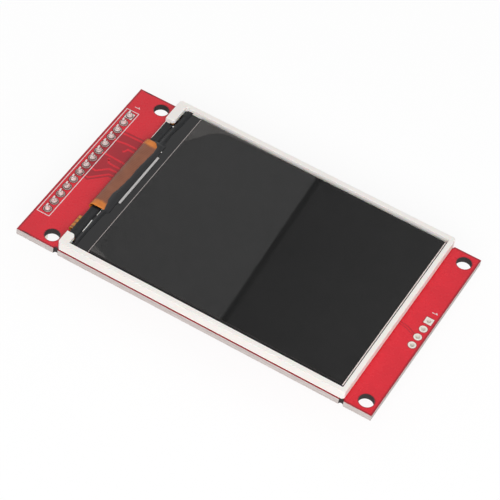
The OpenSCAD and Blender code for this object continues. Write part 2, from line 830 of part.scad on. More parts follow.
// Contact spring seen from the side: foot on the board, run in the floor and arm with
// a bend that rises into the slot, in Y and Z
module contact_profile() {
    t = contact_t;
    run = floor_z;
    tip = contact_y1 - contact_arm;
    low = run - contact_rise;
    polygon([[socket_y1 + contact_foot, back], [socket_y1 + contact_foot, back - t],
             [socket_y1 + 0.4, back - t], [socket_y1 + 0.2, run - t], [contact_y1 - 0.6, run - t],
             [tip + 1.6, low - t], [tip + 1, low - t], [tip, run - t / 2],
             [tip + t, run - t / 2 + t], [tip + 1.1, low], [tip + 1.5, low],
             [contact_y1 - 0.5, run], [socket_y1, run], [socket_y1 + 0.2, back]]);
}

module socket_contacts() {
    color([0.85, 0.7, 0.35])
    facing_mouth() for (x = contact_x)
        translate([x - contact_w / 2, 0, 0]) rotate([90, 0, 90])
            linear_extrude(contact_w) contact_profile();
}

// Leaf that a card pushes aside, in the side rail of the socket
module card_detect_spring() {
    x = socket_x + base_half_w - 0.1;
    y = leaf_y + 0.3;
    color([0.85, 0.7, 0.35])
    facing_mouth() translate([0, 0, floor_z - 1]) linear_extrude(0.8)
        polygon([[x, y], [x, y + 5.2], [x - 0.2, y + 5.2], [x - 0.2, y + 4], [x - 1.9, y + 2.6],
                 [x - 1.9, y + 2.2], [x - 0.2, y + 0.8], [x - 0.2, y]]);
}

// ---- Small parts on the back ----
// A moulded body with slanted sides, its flat face towards the board
module moulded_body(l, w, h, lift) {
    draft = 0.12;
    translate([0, 0, back - lift]) mirror([0, 0, 1]) intersection() {
        along_y(-w / 2, w / 2)
            polygon([[-l / 2 + draft, 0], [l / 2 - draft, 0], [l / 2, (h - lift) * 0.45],
                     [l / 2 - draft, h - lift], [-l / 2 + draft, h - lift], [-l / 2, (h - lift) * 0.45]]);
        rotate([0, 0, 90]) along_y(-l / 2, l / 2)
            polygon([[-w / 2 + draft, 0], [w / 2 - draft, 0], [w / 2, (h - lift) * 0.45],
                     [w / 2 - draft, h - lift], [-w / 2 + draft, h - lift], [-w / 2, (h - lift) * 0.45]]);
    }
}

module regulator_body() {
    color([0.1, 0.1, 0.1])
    translate(regulator_at) rotate([0, 0, 90])
        moulded_body(regulator_l, regulator_w, regulator_h, lead_t);
}

// Three legs on one side and the wide heat tab on the other
module regulator_leads() {
    leg_w = 0.45;
    leg_l = 0.9;
    tab_w = 1.7;
    color([0.8, 0.8, 0.78])
    translate(regulator_at) rotate([0, 0, 90]) translate([0, 0, back - lead_t]) {
        for (x = [-1.5, 0, 1.5])
            translate([x - leg_w / 2, -regulator_w / 2 - leg_l, 0])
                cube([leg_w, leg_l + 0.5, lead_t]);
        translate([-tab_w / 2, -regulator_w / 2 + 0.8, 0])
            cube([tab_w, regulator_w + 0.1, lead_t]);
    }
}

module transistor_body() {
    color([0.1, 0.1, 0.1])
    translate(transistor_at) moulded_body(transistor_l, transistor_w, transistor_h, lead_t / 2);
}

// One bent leg, from the body's side down to the board
module leg() {
    w = 0.4;
    z = transistor_h * 0.5;
    out = 0.55;
    t = lead_t;
    translate([w / 2, 0, back]) rotate([0, -90, 0]) linear_extrude(w)
        polygon([[-z, 0], [-z, -out * 0.4], [0, -out * 0.6], [0, -out], [-t, -out],
                 [-t, -out * 0.6 - t * 0.8], [-z - t, -out * 0.4 - t * 0.4], [-z - t, 0]]);
}

module transistor_leads() {
    color([0.8, 0.8, 0.78])
    translate(transistor_at) {
        for (x = [-0.95, 0.95]) translate([x, -transistor_w / 2, 0]) leg();
        translate([0, transistor_w / 2, 0]) rotate([0, 0, 180]) leg();
    }
}

// Places of the chips, each turned so that its ends point along X
module at_resistors() {
    for (i = [0:resistor_count - 1])
        translate([resistor_row[0], resistor_row[1] + i * chip_pitch, back]) children();
    for (i = [0:lamp_resistor_count - 1])
        translate([lamp_resistor_row[0], lamp_resistor_row[1] + i * chip_pitch, back]) children();
}

module at_capacitors() {
    for (i = [0:capacitor_count - 1])
        translate([capacitor_row[0] + (i % 2) * capacitor_spacing_x,
                   capacitor_row[1] + floor(i / 2) * capacitor_spacing_y, back])
            children();
}

module chip_body(l, w, h) {
    translate([chip_end_t - l / 2, -w / 2, -h]) cube([l - 2 * chip_end_t, w, h]);
}

// A metal end on each end of a chip: a cap that wraps the end, top and bottom
module chip_ends(l, w, h) {
    difference() {
        for (side = [-1, 1])
            translate([side * (l / 2 - chip_end / 2) - chip_end / 2, -w / 2, -h - chip_end_t])
                cube([chip_end, w, h + chip_end_t]);
        translate([chip_end_t - l / 2, -w / 2 - over, -h]) cube([l - 2 * chip_end_t, w + 2 * over, h + over]);
    }
}

module resistor_bodies() {
    color([0.12, 0.12, 0.13]) at_resistors() chip_body(resistor_l, resistor_w, resistor_h);
}

module capacitor_bodies() {
    color([0.68, 0.56, 0.42]) at_capacitors() chip_body(capacitor_l, capacitor_w, capacitor_h);
}

module chip_terminals() {
    color([0.82, 0.82, 0.8]) {
        at_resistors() chip_ends(resistor_l, resistor_w, resistor_h);
        at_capacitors() chip_ends(capacitor_l, capacitor_w, capacitor_h);
    }
}

circuit_board();
header_pads();
card_pads();
flex_pads();
header_strip();
header_pins();
header_solder();
mounting_tape();
display_frame();
reflector_sheet();
light_guide();
diffuser_sheet();
lower_prism_sheet();
upper_prism_sheet();
backlight_flex();
backlight_leds();
light_shield_tape();
rim_tape();
rear_polarizer();
rear_glass();
driver_chip();
front_glass();
front_polarizer();
protective_film();
display_flex();
flex_sealant();
socket_base();
socket_shell();
socket_contacts();
card_detect_spring();
regulator_body();
regulator_leads();
transistor_body();
transistor_leads();
resistor_bodies();
capacitor_bodies();
chip_terminals();
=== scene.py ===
"""Looks of the colour display module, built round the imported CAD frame. Units are metres."""
import json
import math

import bmesh
import bpy
from mathutils import Matrix, Vector
from mathutils import noise


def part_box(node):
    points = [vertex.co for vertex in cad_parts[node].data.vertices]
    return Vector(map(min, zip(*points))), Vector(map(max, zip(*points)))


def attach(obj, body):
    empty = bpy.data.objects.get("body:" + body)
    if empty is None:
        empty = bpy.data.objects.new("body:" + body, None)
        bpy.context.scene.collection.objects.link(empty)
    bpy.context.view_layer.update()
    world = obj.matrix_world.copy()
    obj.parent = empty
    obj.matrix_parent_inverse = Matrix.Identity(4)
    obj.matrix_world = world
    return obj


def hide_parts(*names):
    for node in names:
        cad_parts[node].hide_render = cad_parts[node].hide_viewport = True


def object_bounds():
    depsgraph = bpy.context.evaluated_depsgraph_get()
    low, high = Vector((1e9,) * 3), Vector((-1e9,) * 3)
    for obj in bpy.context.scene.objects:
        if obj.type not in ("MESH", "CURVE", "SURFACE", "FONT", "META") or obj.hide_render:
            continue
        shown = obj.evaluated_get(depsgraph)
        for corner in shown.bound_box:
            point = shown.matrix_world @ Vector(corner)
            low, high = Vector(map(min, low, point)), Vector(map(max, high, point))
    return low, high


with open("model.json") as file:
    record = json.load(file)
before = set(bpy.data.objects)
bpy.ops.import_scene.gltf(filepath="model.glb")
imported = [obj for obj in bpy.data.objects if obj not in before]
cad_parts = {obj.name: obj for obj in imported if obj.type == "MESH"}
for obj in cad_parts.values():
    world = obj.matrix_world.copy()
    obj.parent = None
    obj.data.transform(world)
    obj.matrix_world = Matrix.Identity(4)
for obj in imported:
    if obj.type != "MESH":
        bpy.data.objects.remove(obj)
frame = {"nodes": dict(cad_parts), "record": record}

cad_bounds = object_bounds()
MM = 0.001
NODES = frame["nodes"]
PITCH = 2.54 * MM


# ---------------------------------------------------------------- materials
class Shader:
    """A material's node tree, with short calls for the nodes that the materials share."""

    def __init__(self, name):
        self.material = bpy.data.materials.new(name)
        self.material.use_nodes = True
        self.tree = self.material.node_tree
        self.tree.nodes.clear()
        self.output = self.tree.nodes.new("ShaderNodeOutputMaterial")
        self.bsdf = self.tree.nodes.new("ShaderNodeBsdfPrincipled")
        self.link(self.bsdf.outputs[0], self.output.inputs[0])
        self.place = self.tree.nodes.new("ShaderNodeTexCoord").outputs["Object"]

    def node(self, kind, **settings):
        made = self.tree.nodes.new(kind)
        for key, value in settings.items():
            setattr(made, key, value)
        return made

    def link(self, source, target):
        self.tree.links.new(source, target)

    def feed(self, target, value):
        """Links a socket, or writes a number or colour, into an input."""
        if isinstance(value, bpy.types.NodeSocket):
            self.link(value, target)
        else:
            target.default_value = value

    def math(self, operation, a, b=0.0, c=0.0, clamp=False):
        made = self.node("ShaderNodeMath", operation=operation, use_clamp=clamp)
        for target, value in zip(made.inputs, (a, b, c)):
            self.feed(target, value)
        return made.outputs[0]

    def vector(self, operation, a, b=(0, 0, 0)):
        made = self.node("ShaderNodeVectorMath", operation=operation)
        self.feed(made.inputs[0], a)
        self.feed(made.inputs[1], b)
        return made.outputs["Value" if operation in ("LENGTH", "DISTANCE", "DOT_PRODUCT") else "Vector"]

    def axes(self, vector=None):
        made = self.node("ShaderNodeSeparateXYZ")
        self.link(vector or self.place, made.inputs[0])
        return made.outputs

    def scaled(self, factors):
        return self.vector("MULTIPLY", self.place, factors)

    def noise(self, size, detail=3.0, stretch=(1, 1, 1), roughness=0.55):
        """Noise whose features are about size metres across."""
        made = self.node("ShaderNodeTexNoise")
        self.link(self.scaled(tuple(s / size for s in stretch)), made.inputs["Vector"])
        made.inputs["Scale"].default_value = 1.0
        made.inputs["Detail"].default_value = detail
        made.inputs["Roughness"].default_value = roughness
        return made.outputs["Fac"]

    def spread(self, value, low, high, out_low=0.0, out_high=1.0):
        made = self.node("ShaderNodeMapRange")
        for target, number in zip(made.inputs, (value, low, high, out_low, out_high)):
            self.feed(target, number)
        return made.outputs[0]

    def mix(self, factor, a, b):
        made = self.node("ShaderNodeMix", data_type="RGBA")
        self.feed(made.inputs[0], factor)
        self.feed(made.inputs[6], a if isinstance(a, bpy.types.NodeSocket) else (*a, 1))
        self.feed(made.inputs[7], b if isinstance(b, bpy.types.NodeSocket) else (*b, 1))
        return made.outputs[2]

    def normal_z(self):
        geometry = self.node("ShaderNodeNewGeometry")
        return self.axes(geometry.outputs["True Normal"])[2]

    def bump(self, height, distance, strength=1.0):
        made = self.node("ShaderNodeBump")
        made.inputs["Strength"].default_value = strength
        made.inputs["Distance"].default_value = distance
        self.link(height, made.inputs["Height"])
        self.link(made.outputs[0], self.bsdf.inputs["Normal"])

    def colour(self, value):
        self.feed(self.bsdf.inputs["Base Color"],
                  value if isinstance(value, bpy.types.NodeSocket) else (*value, 1))

    def rough(self, value):
        self.feed(self.bsdf.inputs["Roughness"], value)

    def set(self, **values):
        for key, value in values.items():
            self.bsdf.inputs[key.replace("_", " ")].default_value = value


def surface(name, colour, roughness, grain, depth=0.0, shade=0.12, metallic=0.0, ior=1.5, smear=0.08):
    """A plain finish with slight mottling of colour and gloss, and fine relief."""
    s = Shader(name)
    mottle = s.noise(grain)
    dark = tuple(c * (1 - shade) for c in colour)
    s.colour(s.mix(s.spread(mottle, 0.3, 0.7), dark, colour))
    s.rough(s.spread(s.noise(grain * 3), 0.3, 0.7, roughness - smear * 0.5, roughness + smear * 0.5))
    s.set(Metallic=metallic, IOR=ior)
    if depth:
        s.bump(s.noise(grain * 0.3), depth)
    return s


MASK_RED = (0.70, 0.016, 0.032)
MASK_DARK = (0.40, 0.012, 0.024)
# Darker red inside each header pad's bare ring: painted shade at the step of the copper's edge.
PAD_RING_SHADE = (0.15, 0.022, 0.028)


def red_mask(name, colour):
    """Glossy solder mask: slight colour drift and orange peel."""
    s = Shader(name)
    drift = s.spread(s.noise(9 * MM, 2), 0.3, 0.7)
    s.colour(s.mix(drift, tuple(c * 0.9 for c in colour), colour))
    s.rough(s.spread(s.noise(2 * MM), 0.3, 0.7, 0.22, 0.32))
    s.set(IOR=1.45)
    s.bump(s.noise(0.35 * MM), 0.004 * MM)
    return s


def near_pin(s):
    """The distance to the nearest header pin's axis."""
    x, y = s.axes()[:2]
    to_pin = s.math("PINGPONG", s.math("ADD", y, 10 * PITCH), PITCH / 2)
    across = s.math("SUBTRACT", x, PIN_X * MM)
    along = s.math("SUBTRACT", PITCH / 2, to_pin)
    return s.math("SQRT", s.math("ADD", s.math("MULTIPLY", across, across), s.math("MULTIPLY", along, along)))


def board_material():
    """Dark red over bare laminate on the faces, pale glass fibre on the cut edges, dark walls in
    the corner holes."""
    s = red_mask("mask_over_laminate", MASK_DARK)
    drift = s.spread(s.noise(5 * MM, 2), 0.3, 0.7)
    face = s.mix(drift, tuple(c * 0.88 for c in MASK_DARK), MASK_DARK)
    fibres = s.spread(s.noise(0.5 * MM, 4, (0.35, 0.35, 6)), 0.35, 0.65)
    edge = s.mix(fibres, (0.48, 0.42, 0.40), (0.66, 0.60, 0.58))
    flat = s.math("GREATER_THAN", s.math("ABSOLUTE", s.normal_z()), 0.5)
    y = s.axes()[1]
    # Inside the bare ring round each header pad the face is darker still: painted shade at the copper's step.
    face = s.mix(s.math("LESS_THAN", near_pin(s), CLEAR * MM), face, PAD_RING_SHADE)
    # dark walls in the corner holes and in the notches
    outline = s.vector("MULTIPLY", s.vector("ABSOLUTE", s.place), (1, 1, 0))
    corner = s.vector("LENGTH", s.vector("SUBTRACT", outline, (HOLES[3][0] * MM, HOLES[3][1] * MM, 0)))
    dark = s.math("LESS_THAN", corner, 1.8 * MM)
    for notch in NOTCH_X:
        along = s.vector("MULTIPLY", s.place, (1, 0, 0))
        away = s.vector("LENGTH", s.vector("SUBTRACT", along, (notch * MM, 0, 0)))
        inside = s.math("LESS_THAN", away, (NOTCH_RADIUS + 0.03) * MM)
        set_back = s.math("LESS_THAN", s.math("ABSOLUTE", y), (BOARD_HIGH[1] - 0.01) * MM)
        dark = s.math("MAXIMUM", dark, s.math("MULTIPLY", inside, set_back))
    side = s.mix(dark, edge, (0.035, 0.028, 0.028))
    s.colour(s.mix(flat, side, face))
    s.rough(s.spread(flat, 0.0, 1.0, 0.75, 0.28))
    return s.material


def frame_material():
    s = surface("white_frame", (0.90, 0.865, 0.825), 0.42, 6 * MM, 0.006 * MM, shade=0.03)
    s.set(Subsurface_Weight=0.1, Subsurface_Scale=0.3 * MM)
    return s.material


def flex_material(name, bare_end):
    """Polyimide: brown over copper, amber where the copper stops near the two long ends."""
    s = Shader(name)
    y = s.axes()[1]
    low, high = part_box("display_flex")
    middle = (low[1] + high[1]) / 2
    half = (high[1] - low[1]) / 2
    away = s.math("ABSOLUTE", s.math("SUBTRACT", y, middle))
    drift = s.math("MULTIPLY", s.math("SUBTRACT", s.noise(1.5 * MM), 0.5), 0.8 * MM)
    amber = s.spread(s.math("ADD", away, drift), half - bare_end - 0.35 * MM, half - bare_end + 0.35 * MM)
    lines = s.math("SINE", s.math("MULTIPLY", y, 2 * math.pi / (0.42 * MM)))
    copper = s.mix(s.spread(lines, -0.4, 0.6), (0.165, 0.050, 0.023), (0.235, 0.078, 0.035))
    mottle = s.spread(s.noise(2.5 * MM), 0.3, 0.7)
    copper = s.mix(mottle, copper, (0.245, 0.084, 0.040))
    film = s.mix(s.spread(s.noise(1.2 * MM), 0.3, 0.7), (0.54, 0.15, 0.018), (0.68, 0.21, 0.028))
    s.colour(s.mix(amber, copper, film))
    s.rough(s.spread(s.noise(1.5 * MM), 0.3, 0.7, 0.28, 0.42))
    s.bump(s.math("MULTIPLY", lines, 0.5), 0.006 * MM)
    return s.material


def tail_material():
    """The backlight strip: amber with bare copper stripes across its bend."""
    s = Shader("lamp_strip")
    y = s.axes()[1]
    stripe = s.math("SINE", s.math("MULTIPLY", y, 2 * math.pi / (1.25 * MM)))
    dark = s.spread(stripe, 0.1, 0.5)
    film = s.mix(s.spread(s.noise(1 * MM), 0.3, 0.7), (0.55, 0.20, 0.022), (0.70, 0.30, 0.04))
    s.colour(s.mix(dark, film, (0.30, 0.11, 0.03)))
    s.rough(s.spread(s.noise(1 * MM), 0.3, 0.7, 0.3, 0.45))
    return s.material


def metal(name, colour, roughness, grain=0.6 * MM, depth=0.004 * MM):
    return surface(name, colour, roughness, grain, depth, shade=0.14, metallic=1.0, smear=0.16)


def solder_material():
    """Solder: patches of bright and of brownish grey colour stand in for its highlights and the darks it
    mirrors, a painted highlight and painted shade; darker red towards its foot.
    """
    s = Shader("solder")
    # Painted highlight and painted shade: bright and dull patches of colour stand in for the reflections in
    # the solder.
    painted_gleam = s.spread(s.noise(0.8 * MM, 1), 0.5, 0.72)
    # Darker red from 0.58 mm off the pin's axis outwards.
    foot = s.spread(near_pin(s), 0.58 * MM, 0.76 * MM)
    gleam_colour = s.mix(painted_gleam, (0.95, 0.92, 0.88), (0.42, 0.36, 0.34))
    s.colour(s.mix(foot, gleam_colour, (0.10, 0.022, 0.024)))
    s.rough(s.spread(painted_gleam, 0, 1, 0.26, 0.42))
    s.set(Metallic=0.5)
    s.bump(s.noise(0.5 * MM), 0.06 * MM)
    return s.material


def pin_material():
    """Pale plate below the board; above it the pins are wetted with solder."""
    s = Shader("pin_plate")
    above = s.math("GREATER_THAN", s.axes()[2], -1.5 * MM)
    gold = s.mix(s.spread(s.noise(0.8 * MM), 0.3, 0.7), (0.66, 0.62, 0.52), (0.82, 0.78, 0.68))
    tin = s.mix(s.spread(s.noise(0.3 * MM), 0.3, 0.7), (0.62, 0.61, 0.59), (0.86, 0.85, 0.83))
    s.colour(s.mix(above, gold, tin))
    s.rough(s.spread(s.noise(0.5 * MM), 0.3, 0.7, 0.2, 0.36))
    s.set(Metallic=1.0)
    s.bump(s.noise(0.25 * MM), 0.008 * MM)
    return s.material


def dark_glass(name, colour, roughness=0.03, ior=1.45):
    """A panel layer: nearly black, smooth, with a faint uneven sheen."""
    s = Shader(name)
    s.colour(s.mix(s.spread(s.noise(14 * MM, 1), 0.3, 0.7), tuple(c * 0.86 for c in colour), colour))
    s.rough(s.spread(s.noise(6 * MM, 2), 0.3, 0.7, roughness, roughness + 0.01))
    s.set(IOR=ior)
    return s


def front_glass_material():
    """Black border glass; its scribed edges at both ends of the display are painted pale: frosted glass
    edges, with a painted glint along them.
    """
    s = dark_glass("front_glass", (0.0045, 0.0045, 0.005))
    geometry = s.node("ShaderNodeNewGeometry")
    along = s.math("ABSOLUTE", s.axes(geometry.outputs["True Normal"])[0])
    frosted_glint = s.math("GREATER_THAN", along, 0.3)
    # Pale colour on the end faces: the frosted scribed edge, with a painted glint.
    s.colour(s.mix(frosted_glint, (0.0045, 0.0045, 0.005), (0.86, 0.76, 0.73)))
    s.rough(s.spread(frosted_glint, 0, 1, 0.05, 0.7))
    return s.material


def polarizer_material():
    """Neutral dark film; its cut edge is painted paler, a painted glint along the edge."""
    s = dark_glass("polarizer", (0.006, 0.006, 0.006), 0.012)
    side = s.math("LESS_THAN", s.math("ABSOLUTE", s.normal_z()), 0.5)
    body = s.mix(s.spread(s.noise(20 * MM, 1), 0.3, 0.7), (0.0050, 0.0050, 0.0050), (0.0064, 0.0063, 0.0063))
    # Pale cut edge: painted glint where the edge catches the light.
    s.colour(s.mix(side, body, (0.06, 0.05, 0.047)))
    return s.material


def film_material(name, cover_share, grain):
    """Clear protective film; where it has lifted off the panel, a share of pale grey diffuse colour lightens
    it: painted reflection of its loose layers.
    """
    s = Shader(name)
    clear = s.node("ShaderNodeBsdfTransparent")
    cover = s.node("ShaderNodeMixShader")
    tint = s.spread(s.noise(grain), 0.35, 0.75)
    s.link(s.mix(tint, (1.0, 1.0, 1.0), (0.975, 0.975, 0.975)), clear.inputs[0])
    cover.inputs[0].default_value = cover_share
    s.link(clear.outputs[0], cover.inputs[1])
    s.link(s.bsdf.outputs[0], cover.inputs[2])
    s.link(cover.outputs[0], s.output.inputs[0])
    # The grey diffuse colour, used where cover_share is above zero: painted reflection of the lifted film.
    s.colour(s.mix(s.spread(s.noise(2 * MM), 0.3, 0.7), (0.10, 0.094, 0.09), (0.13, 0.124, 0.12)))
    s.rough(s.spread(s.noise(2 * MM), 0.3, 0.7, 0.18, 0.3))
    s.set(IOR=1.45)
    return s.material


def tape_material():
    """Black polyester tape: glossy with fine creases, painted darker in their troughs."""
    s = Shader("black_tape")
    crease = s.noise(1.1 * MM, 3, (1.4, 0.35, 1.4))
    # Colour follows the crease relief, darker in the troughs: painted shade in the creases.
    s.colour(s.mix(s.spread(crease, 0.35, 0.7), (0.005, 0.0055, 0.0065), (0.014, 0.015, 0.017)))
    s.rough(s.spread(s.noise(0.9 * MM), 0.3, 0.7, 0.2, 0.4))
    s.set(IOR=1.38)
    s.bump(crease, 0.05 * MM)
    return s.material


# ---------------------------------------------------------------- mesh helpers
def new_object(name, mesh, material, smooth=False):
    made = bpy.data.objects.new(name, mesh)
    bpy.context.scene.collection.objects.link(made)
    mesh.materials.clear()
    mesh.materials.append(material)
    for polygon in mesh.polygons:
        polygon.use_smooth = smooth
    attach(made, "root")
    return made


def from_bmesh(name, bm, material, smooth=False):
    mesh = bpy.data.meshes.new(name)
    bm.normal_update()
    bm.to_mesh(mesh)
    bm.free()
    return new_object(name, mesh, material, smooth)


def applied(made):
    """Applies the modifiers of an object to its mesh."""
    graph = bpy.context.evaluated_depsgraph_get()
    mesh = bpy.data.meshes.new_from_object(made.evaluated_get(graph))
    made.modifiers.clear()
    made.data = mesh
    return made


def softened(node, material, width, segments=2):
    """Stands for a CAD node with its edges slightly rounded."""
    bm = bmesh.new()
    bm.from_mesh(NODES[node].data)
    bmesh.ops.remove_doubles(bm, verts=bm.verts, dist=0.0005 * MM)
    bmesh.ops.dissolve_limit(bm, angle_limit=math.radians(1), verts=bm.verts, edges=bm.edges)
    made = from_bmesh("soft_" + node, bm, material)
    bevel = made.modifiers.new("round", "BEVEL")
    bevel.width = width
    bevel.segments = segments
    bevel.limit_method = "ANGLE"
    bevel.angle_limit = math.radians(35)
    bevel.harden_normals = False
    applied(made)
    for polygon in made.data.polygons:
        polygon.use_smooth = False
    made.data.materials.clear()
    made.data.materials.append(material)
    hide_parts(node)
    return made


def dress(material, *nodes):
    """Gives CAD nodes that keep their shape a finished material."""
    for node in nodes:
        for slot in NODES[node].material_slots:
            slot.material = material


def flat_shape(name, loops, z, thickness, material):
    """A flat plate from closed outlines in millimetres; an outline inside another cuts a hole.
    The plate grows from z towards the outside of the board."""
    curve = bpy.data.curves.new(name, "CURVE")
    curve.dimensions = "2D"
    curve.fill_mode = "BOTH"
    for loop in loops:
        spline = curve.splines.new("POLY")
        spline.points.add(len(loop) - 1)
        for point, (x, y) in zip(spline.points, loop):
            point.co = (x * MM, y * MM, 0, 1)
        spline.use_cyclic_u = True
    curve.extrude = thickness / 2
    drawn = bpy.data.objects.new(name, curve)
    bpy.context.scene.collection.objects.link(drawn)
    mesh = bpy.data.meshes.new_from_object(drawn.evaluated_get(bpy.context.evaluated_depsgraph_get()))
    bpy.data.objects.remove(drawn)
    middle = z + math.copysign(thickness / 2, z if z else 1)
    mesh.transform(Matrix.Translation((0, 0, middle)))
    return new_object(name, mesh, material)


def ring(x, y, radius, count=28):
    return [(x + radius * math.cos(2 * math.pi * i / count), y + radius * math.sin(2 * math.pi * i / count))
            for i in range(count)]


def rectangle(x0, x1, y0, y1):
    return [(x0, y0), (x1, y0), (x1, y1), (x0, y1)]


def stroke(points, width):
    """The outline of a line of the given width through the points, in millimetres."""
    left, right = [], []
    for i, point in enumerate(points):
        here = Vector(point)
        before = Vector(points[max(i - 1, 0)])
        after = Vector(points[min(i + 1, len(points) - 1)])
        ahead = (after - here).normalized() if i < len(points) - 1 else (here - before).normalized()
        behind = (here - before).normalized() if i else ahead
        along = (ahead + behind).normalized()
        across = Vector((-along.y, along.x)) * (width / 2) / max(along.dot(ahead), 0.5)
        left.append(tuple(here + across))
        right.append(tuple(here - across))
    return left + right[::-1]


# ---------------------------------------------------------------- places from the frame
def mm_box(node):
    low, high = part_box(node)
    return [v / MM for v in low], [v / MM for v in high]


BOARD_LOW, BOARD_HIGH = mm_box("circuit_board")
FRAME_LOW, FRAME_HIGH = mm_box("display_frame")
PAD_LOW, PAD_HIGH = mm_box("header_pads")
CARD_LOW, CARD_HIGH = mm_box("card_pads")
FLEX_LOW, FLEX_HIGH = mm_box("display_flex")
FILM_LOW, FILM_HIGH = mm_box("protective_film")
GLASS_LOW, GLASS_HIGH = mm_box("rear_glass")
TAPE_LOW, TAPE_HIGH = mm_box("light_shield_tape")
FILM_Z = FILM_HIGH[2] * MM
PIN_X = (PAD_LOW[0] + PAD_HIGH[0]) / 2
PAD_RADIUS = 0.9
PIN_Y = [PAD_HIGH[1] - PAD_RADIUS - PITCH / MM * i for i in range(14)]
CARD_X = (CARD_LOW[0] + CARD_HIGH[0]) / 2
CARD_Y = [CARD_HIGH[1] - PAD_RADIUS - PITCH / MM * i for i in range(4)]
BOLTS = frame["record"]["mounts"][0]["dims"]
HOLES = [(sx * BOLTS["spacing_x_mm"] / 2, sy * BOLTS["spacing_y_mm"] / 2) for sx in (-1, 1) for sy in (-1, 1)]
NOTCH_X = (FRAME_LOW[0] - 0.4, FRAME_HIGH[0] - 0.4)
SOCKET_LOW, SOCKET_HIGH = mm_box("socket_shell")
NOTCH_RADIUS = 0.55
COPPER = 0.018 * MM      # thickness of the raised mask over copper
INK = 0.012 * MM         # thickness of the print
EDGE_INSET = 0.4         # bare strip along the board's edges, in millimetres
CARD_CLEAR = 1.08        # radius of the bare ring round a card pad
HOLE_CLEAR = 1.88        # radius of the bare ring round a corner hole
PEG_CLEAR = 1.15         # radius of the bare ring round a socket peg
FRONT_TRACE = 0.48
CARD_TRACE = 0.38
BACK_TRACE = 0.38
PRINT_WIDTH = 0.15


# ---------------------------------------------------------------- board surface
FIELD_PINS = range(2, 9)  # header pins whose pads stand in the front's field without copper
CLEAR = 1.12              # radius of the bare ring round a header pad
# fields without copper on the back
BACK_FIELD = [(-41.2, 2.4), (-12.4, 2.4), (-9.6, 0.7), (-3.4, 0.7), (-3.4, -11.2), (-9.6, -11.2),
              (-13.4, -15.0), (-21.5, -15.0), (-24.0, -10.2), (-29.6, -10.2), (-31.2, -8.0), (-34.6, -11.4),
              (-34.6, -15.2), (-41.2, -15.2)]
CARD_FIELD = [(0.2, -11.2), (21.2, -11.2), (23.6, -8.8), (23.6, -4.9), (0.2, -4.9)]
REGULATOR, TRANSISTOR = [[(low + high) / 2 for low, high in zip(*mm_box(node))]
                         for node in ("regulator_body", "transistor_body")]


def front_field():
    """The field without copper: it runs round the left side of its header pads."""
    loop = [(-41.3, 12.05), (-36.0, 12.25), (-33.0, 12.25), (-33.0, -1.2), (-37.3, -1.42), (-40.45, -4.72),
            (-42.1, -4.72)]
    for i in reversed(FIELD_PINS):
        start = -50 if i == FIELD_PINS[-1] else -90
        end = -325 if i == FIELD_PINS[0] else -270
        for k in range(11):
            angle = math.radians(start + (end - start) * k / 10)
            loop.append((PIN_X + CLEAR * math.cos(angle), PIN_Y[i] + CLEAR * math.sin(angle)))
    return loop


def front_traces():
    """Traces that run from the header to the display flex, through the field without copper."""
    return [[(-42.1, 11.42), (-41.5, 11.3), (-36.6, 11.45), (-33.0, 11.45)],
            [(-42.1, 8.8), (-41.7, 8.5), (-40.4, 8.75), (-38.9, 9.0), (-33.0, 9.0)],
            [(-38.65, 6.6), (-38.15, 7.0), (-37.95, 7.75), (-33.0, 7.75)],
            [(-42.1, 3.81), (-41.5, 3.95), (-36.6, 3.8), (-33.0, 3.8)],
            [(-39.8, 2.84), (-39.35, 2.15), (-38.6, 2.0), (-33.0, 2.0)],
            [(-42.0, -1.1), (-41.1, -1.4), (-40.4, -1.45), (-38.3, 0.65), (-33.0, 0.8)],
            [(-42.1, -3.85), (-41.5, -4.05), (-40.65, -4.0), (-37.5, -0.72), (-33.0, -0.5)]]


def back_traces():
    """Traces from the header past the small parts to the card socket."""
    lines = []
    for i in range(6):
        pin = PIN_Y[12 - i]
        row = -10.0 + 1.9 * i
        bend = -12.0 - 0.8 * abs(i - 2.5)
        lines.append([(PIN_X + 1.2, pin), (bend - abs(row - pin), pin), (bend, row), (-2.7, row)])
    for i, contact in enumerate((19.8, 17.3, 12.3)):
        row = -10.0 + 1.9 * i
        lines.append([(-0.8, row), (contact - 1.2, row), (contact, row + 1.2), (contact, -4.6)])
    return lines


def board_outline(inset):
    """The board's outline drawn inwards, round the notches of its long edges."""
    x0, x1 = BOARD_LOW[0] + inset, BOARD_HIGH[0] - inset
    y1 = BOARD_HIGH[1] - inset
    reach = NOTCH_RADIUS + inset
    first = math.asin(inset / reach)
    loop = []
    for side in (-1, 1):
        loop.append((x0 if side < 0 else x1, side * y1))
        for notch in NOTCH_X[::-side]:
            for k in range(9):
                angle = math.pi - first - (math.pi - 2 * first) * k / 8
                y = BOARD_HIGH[1] - reach * math.sin(angle)
                loop.append((notch - side * reach * math.cos(angle), side * y))
        loop.append((x1 if side < 0 else x0, side * y1))
    return loop


def square(x, y, half):
    return rectangle(x - half, x + half, y - half, y + half)


def clearances(skipped=()):
    """Rings without copper round the pads, apart from the skipped pins, and the corner holes."""
    loops = [ring(PIN_X, y, CLEAR, 20) for i, y in enumerate(PIN_Y) if i and i not in skipped]
    loops += [square(PIN_X, PIN_Y[0], CLEAR)]
    loops += [ring(CARD_X, y, CARD_CLEAR, 20) for y in CARD_Y[1:]] + [square(CARD_X, CARD_Y[0], CARD_CLEAR)]
    return loops + [ring(x, y, HOLE_CLEAR, 36) for x, y in HOLES]


def copper_plate(name, loops, side, material):
    z = 0.0 if side > 0 else BOARD_LOW[2] * MM
    return flat_shape(name, loops, z, COPPER, material)


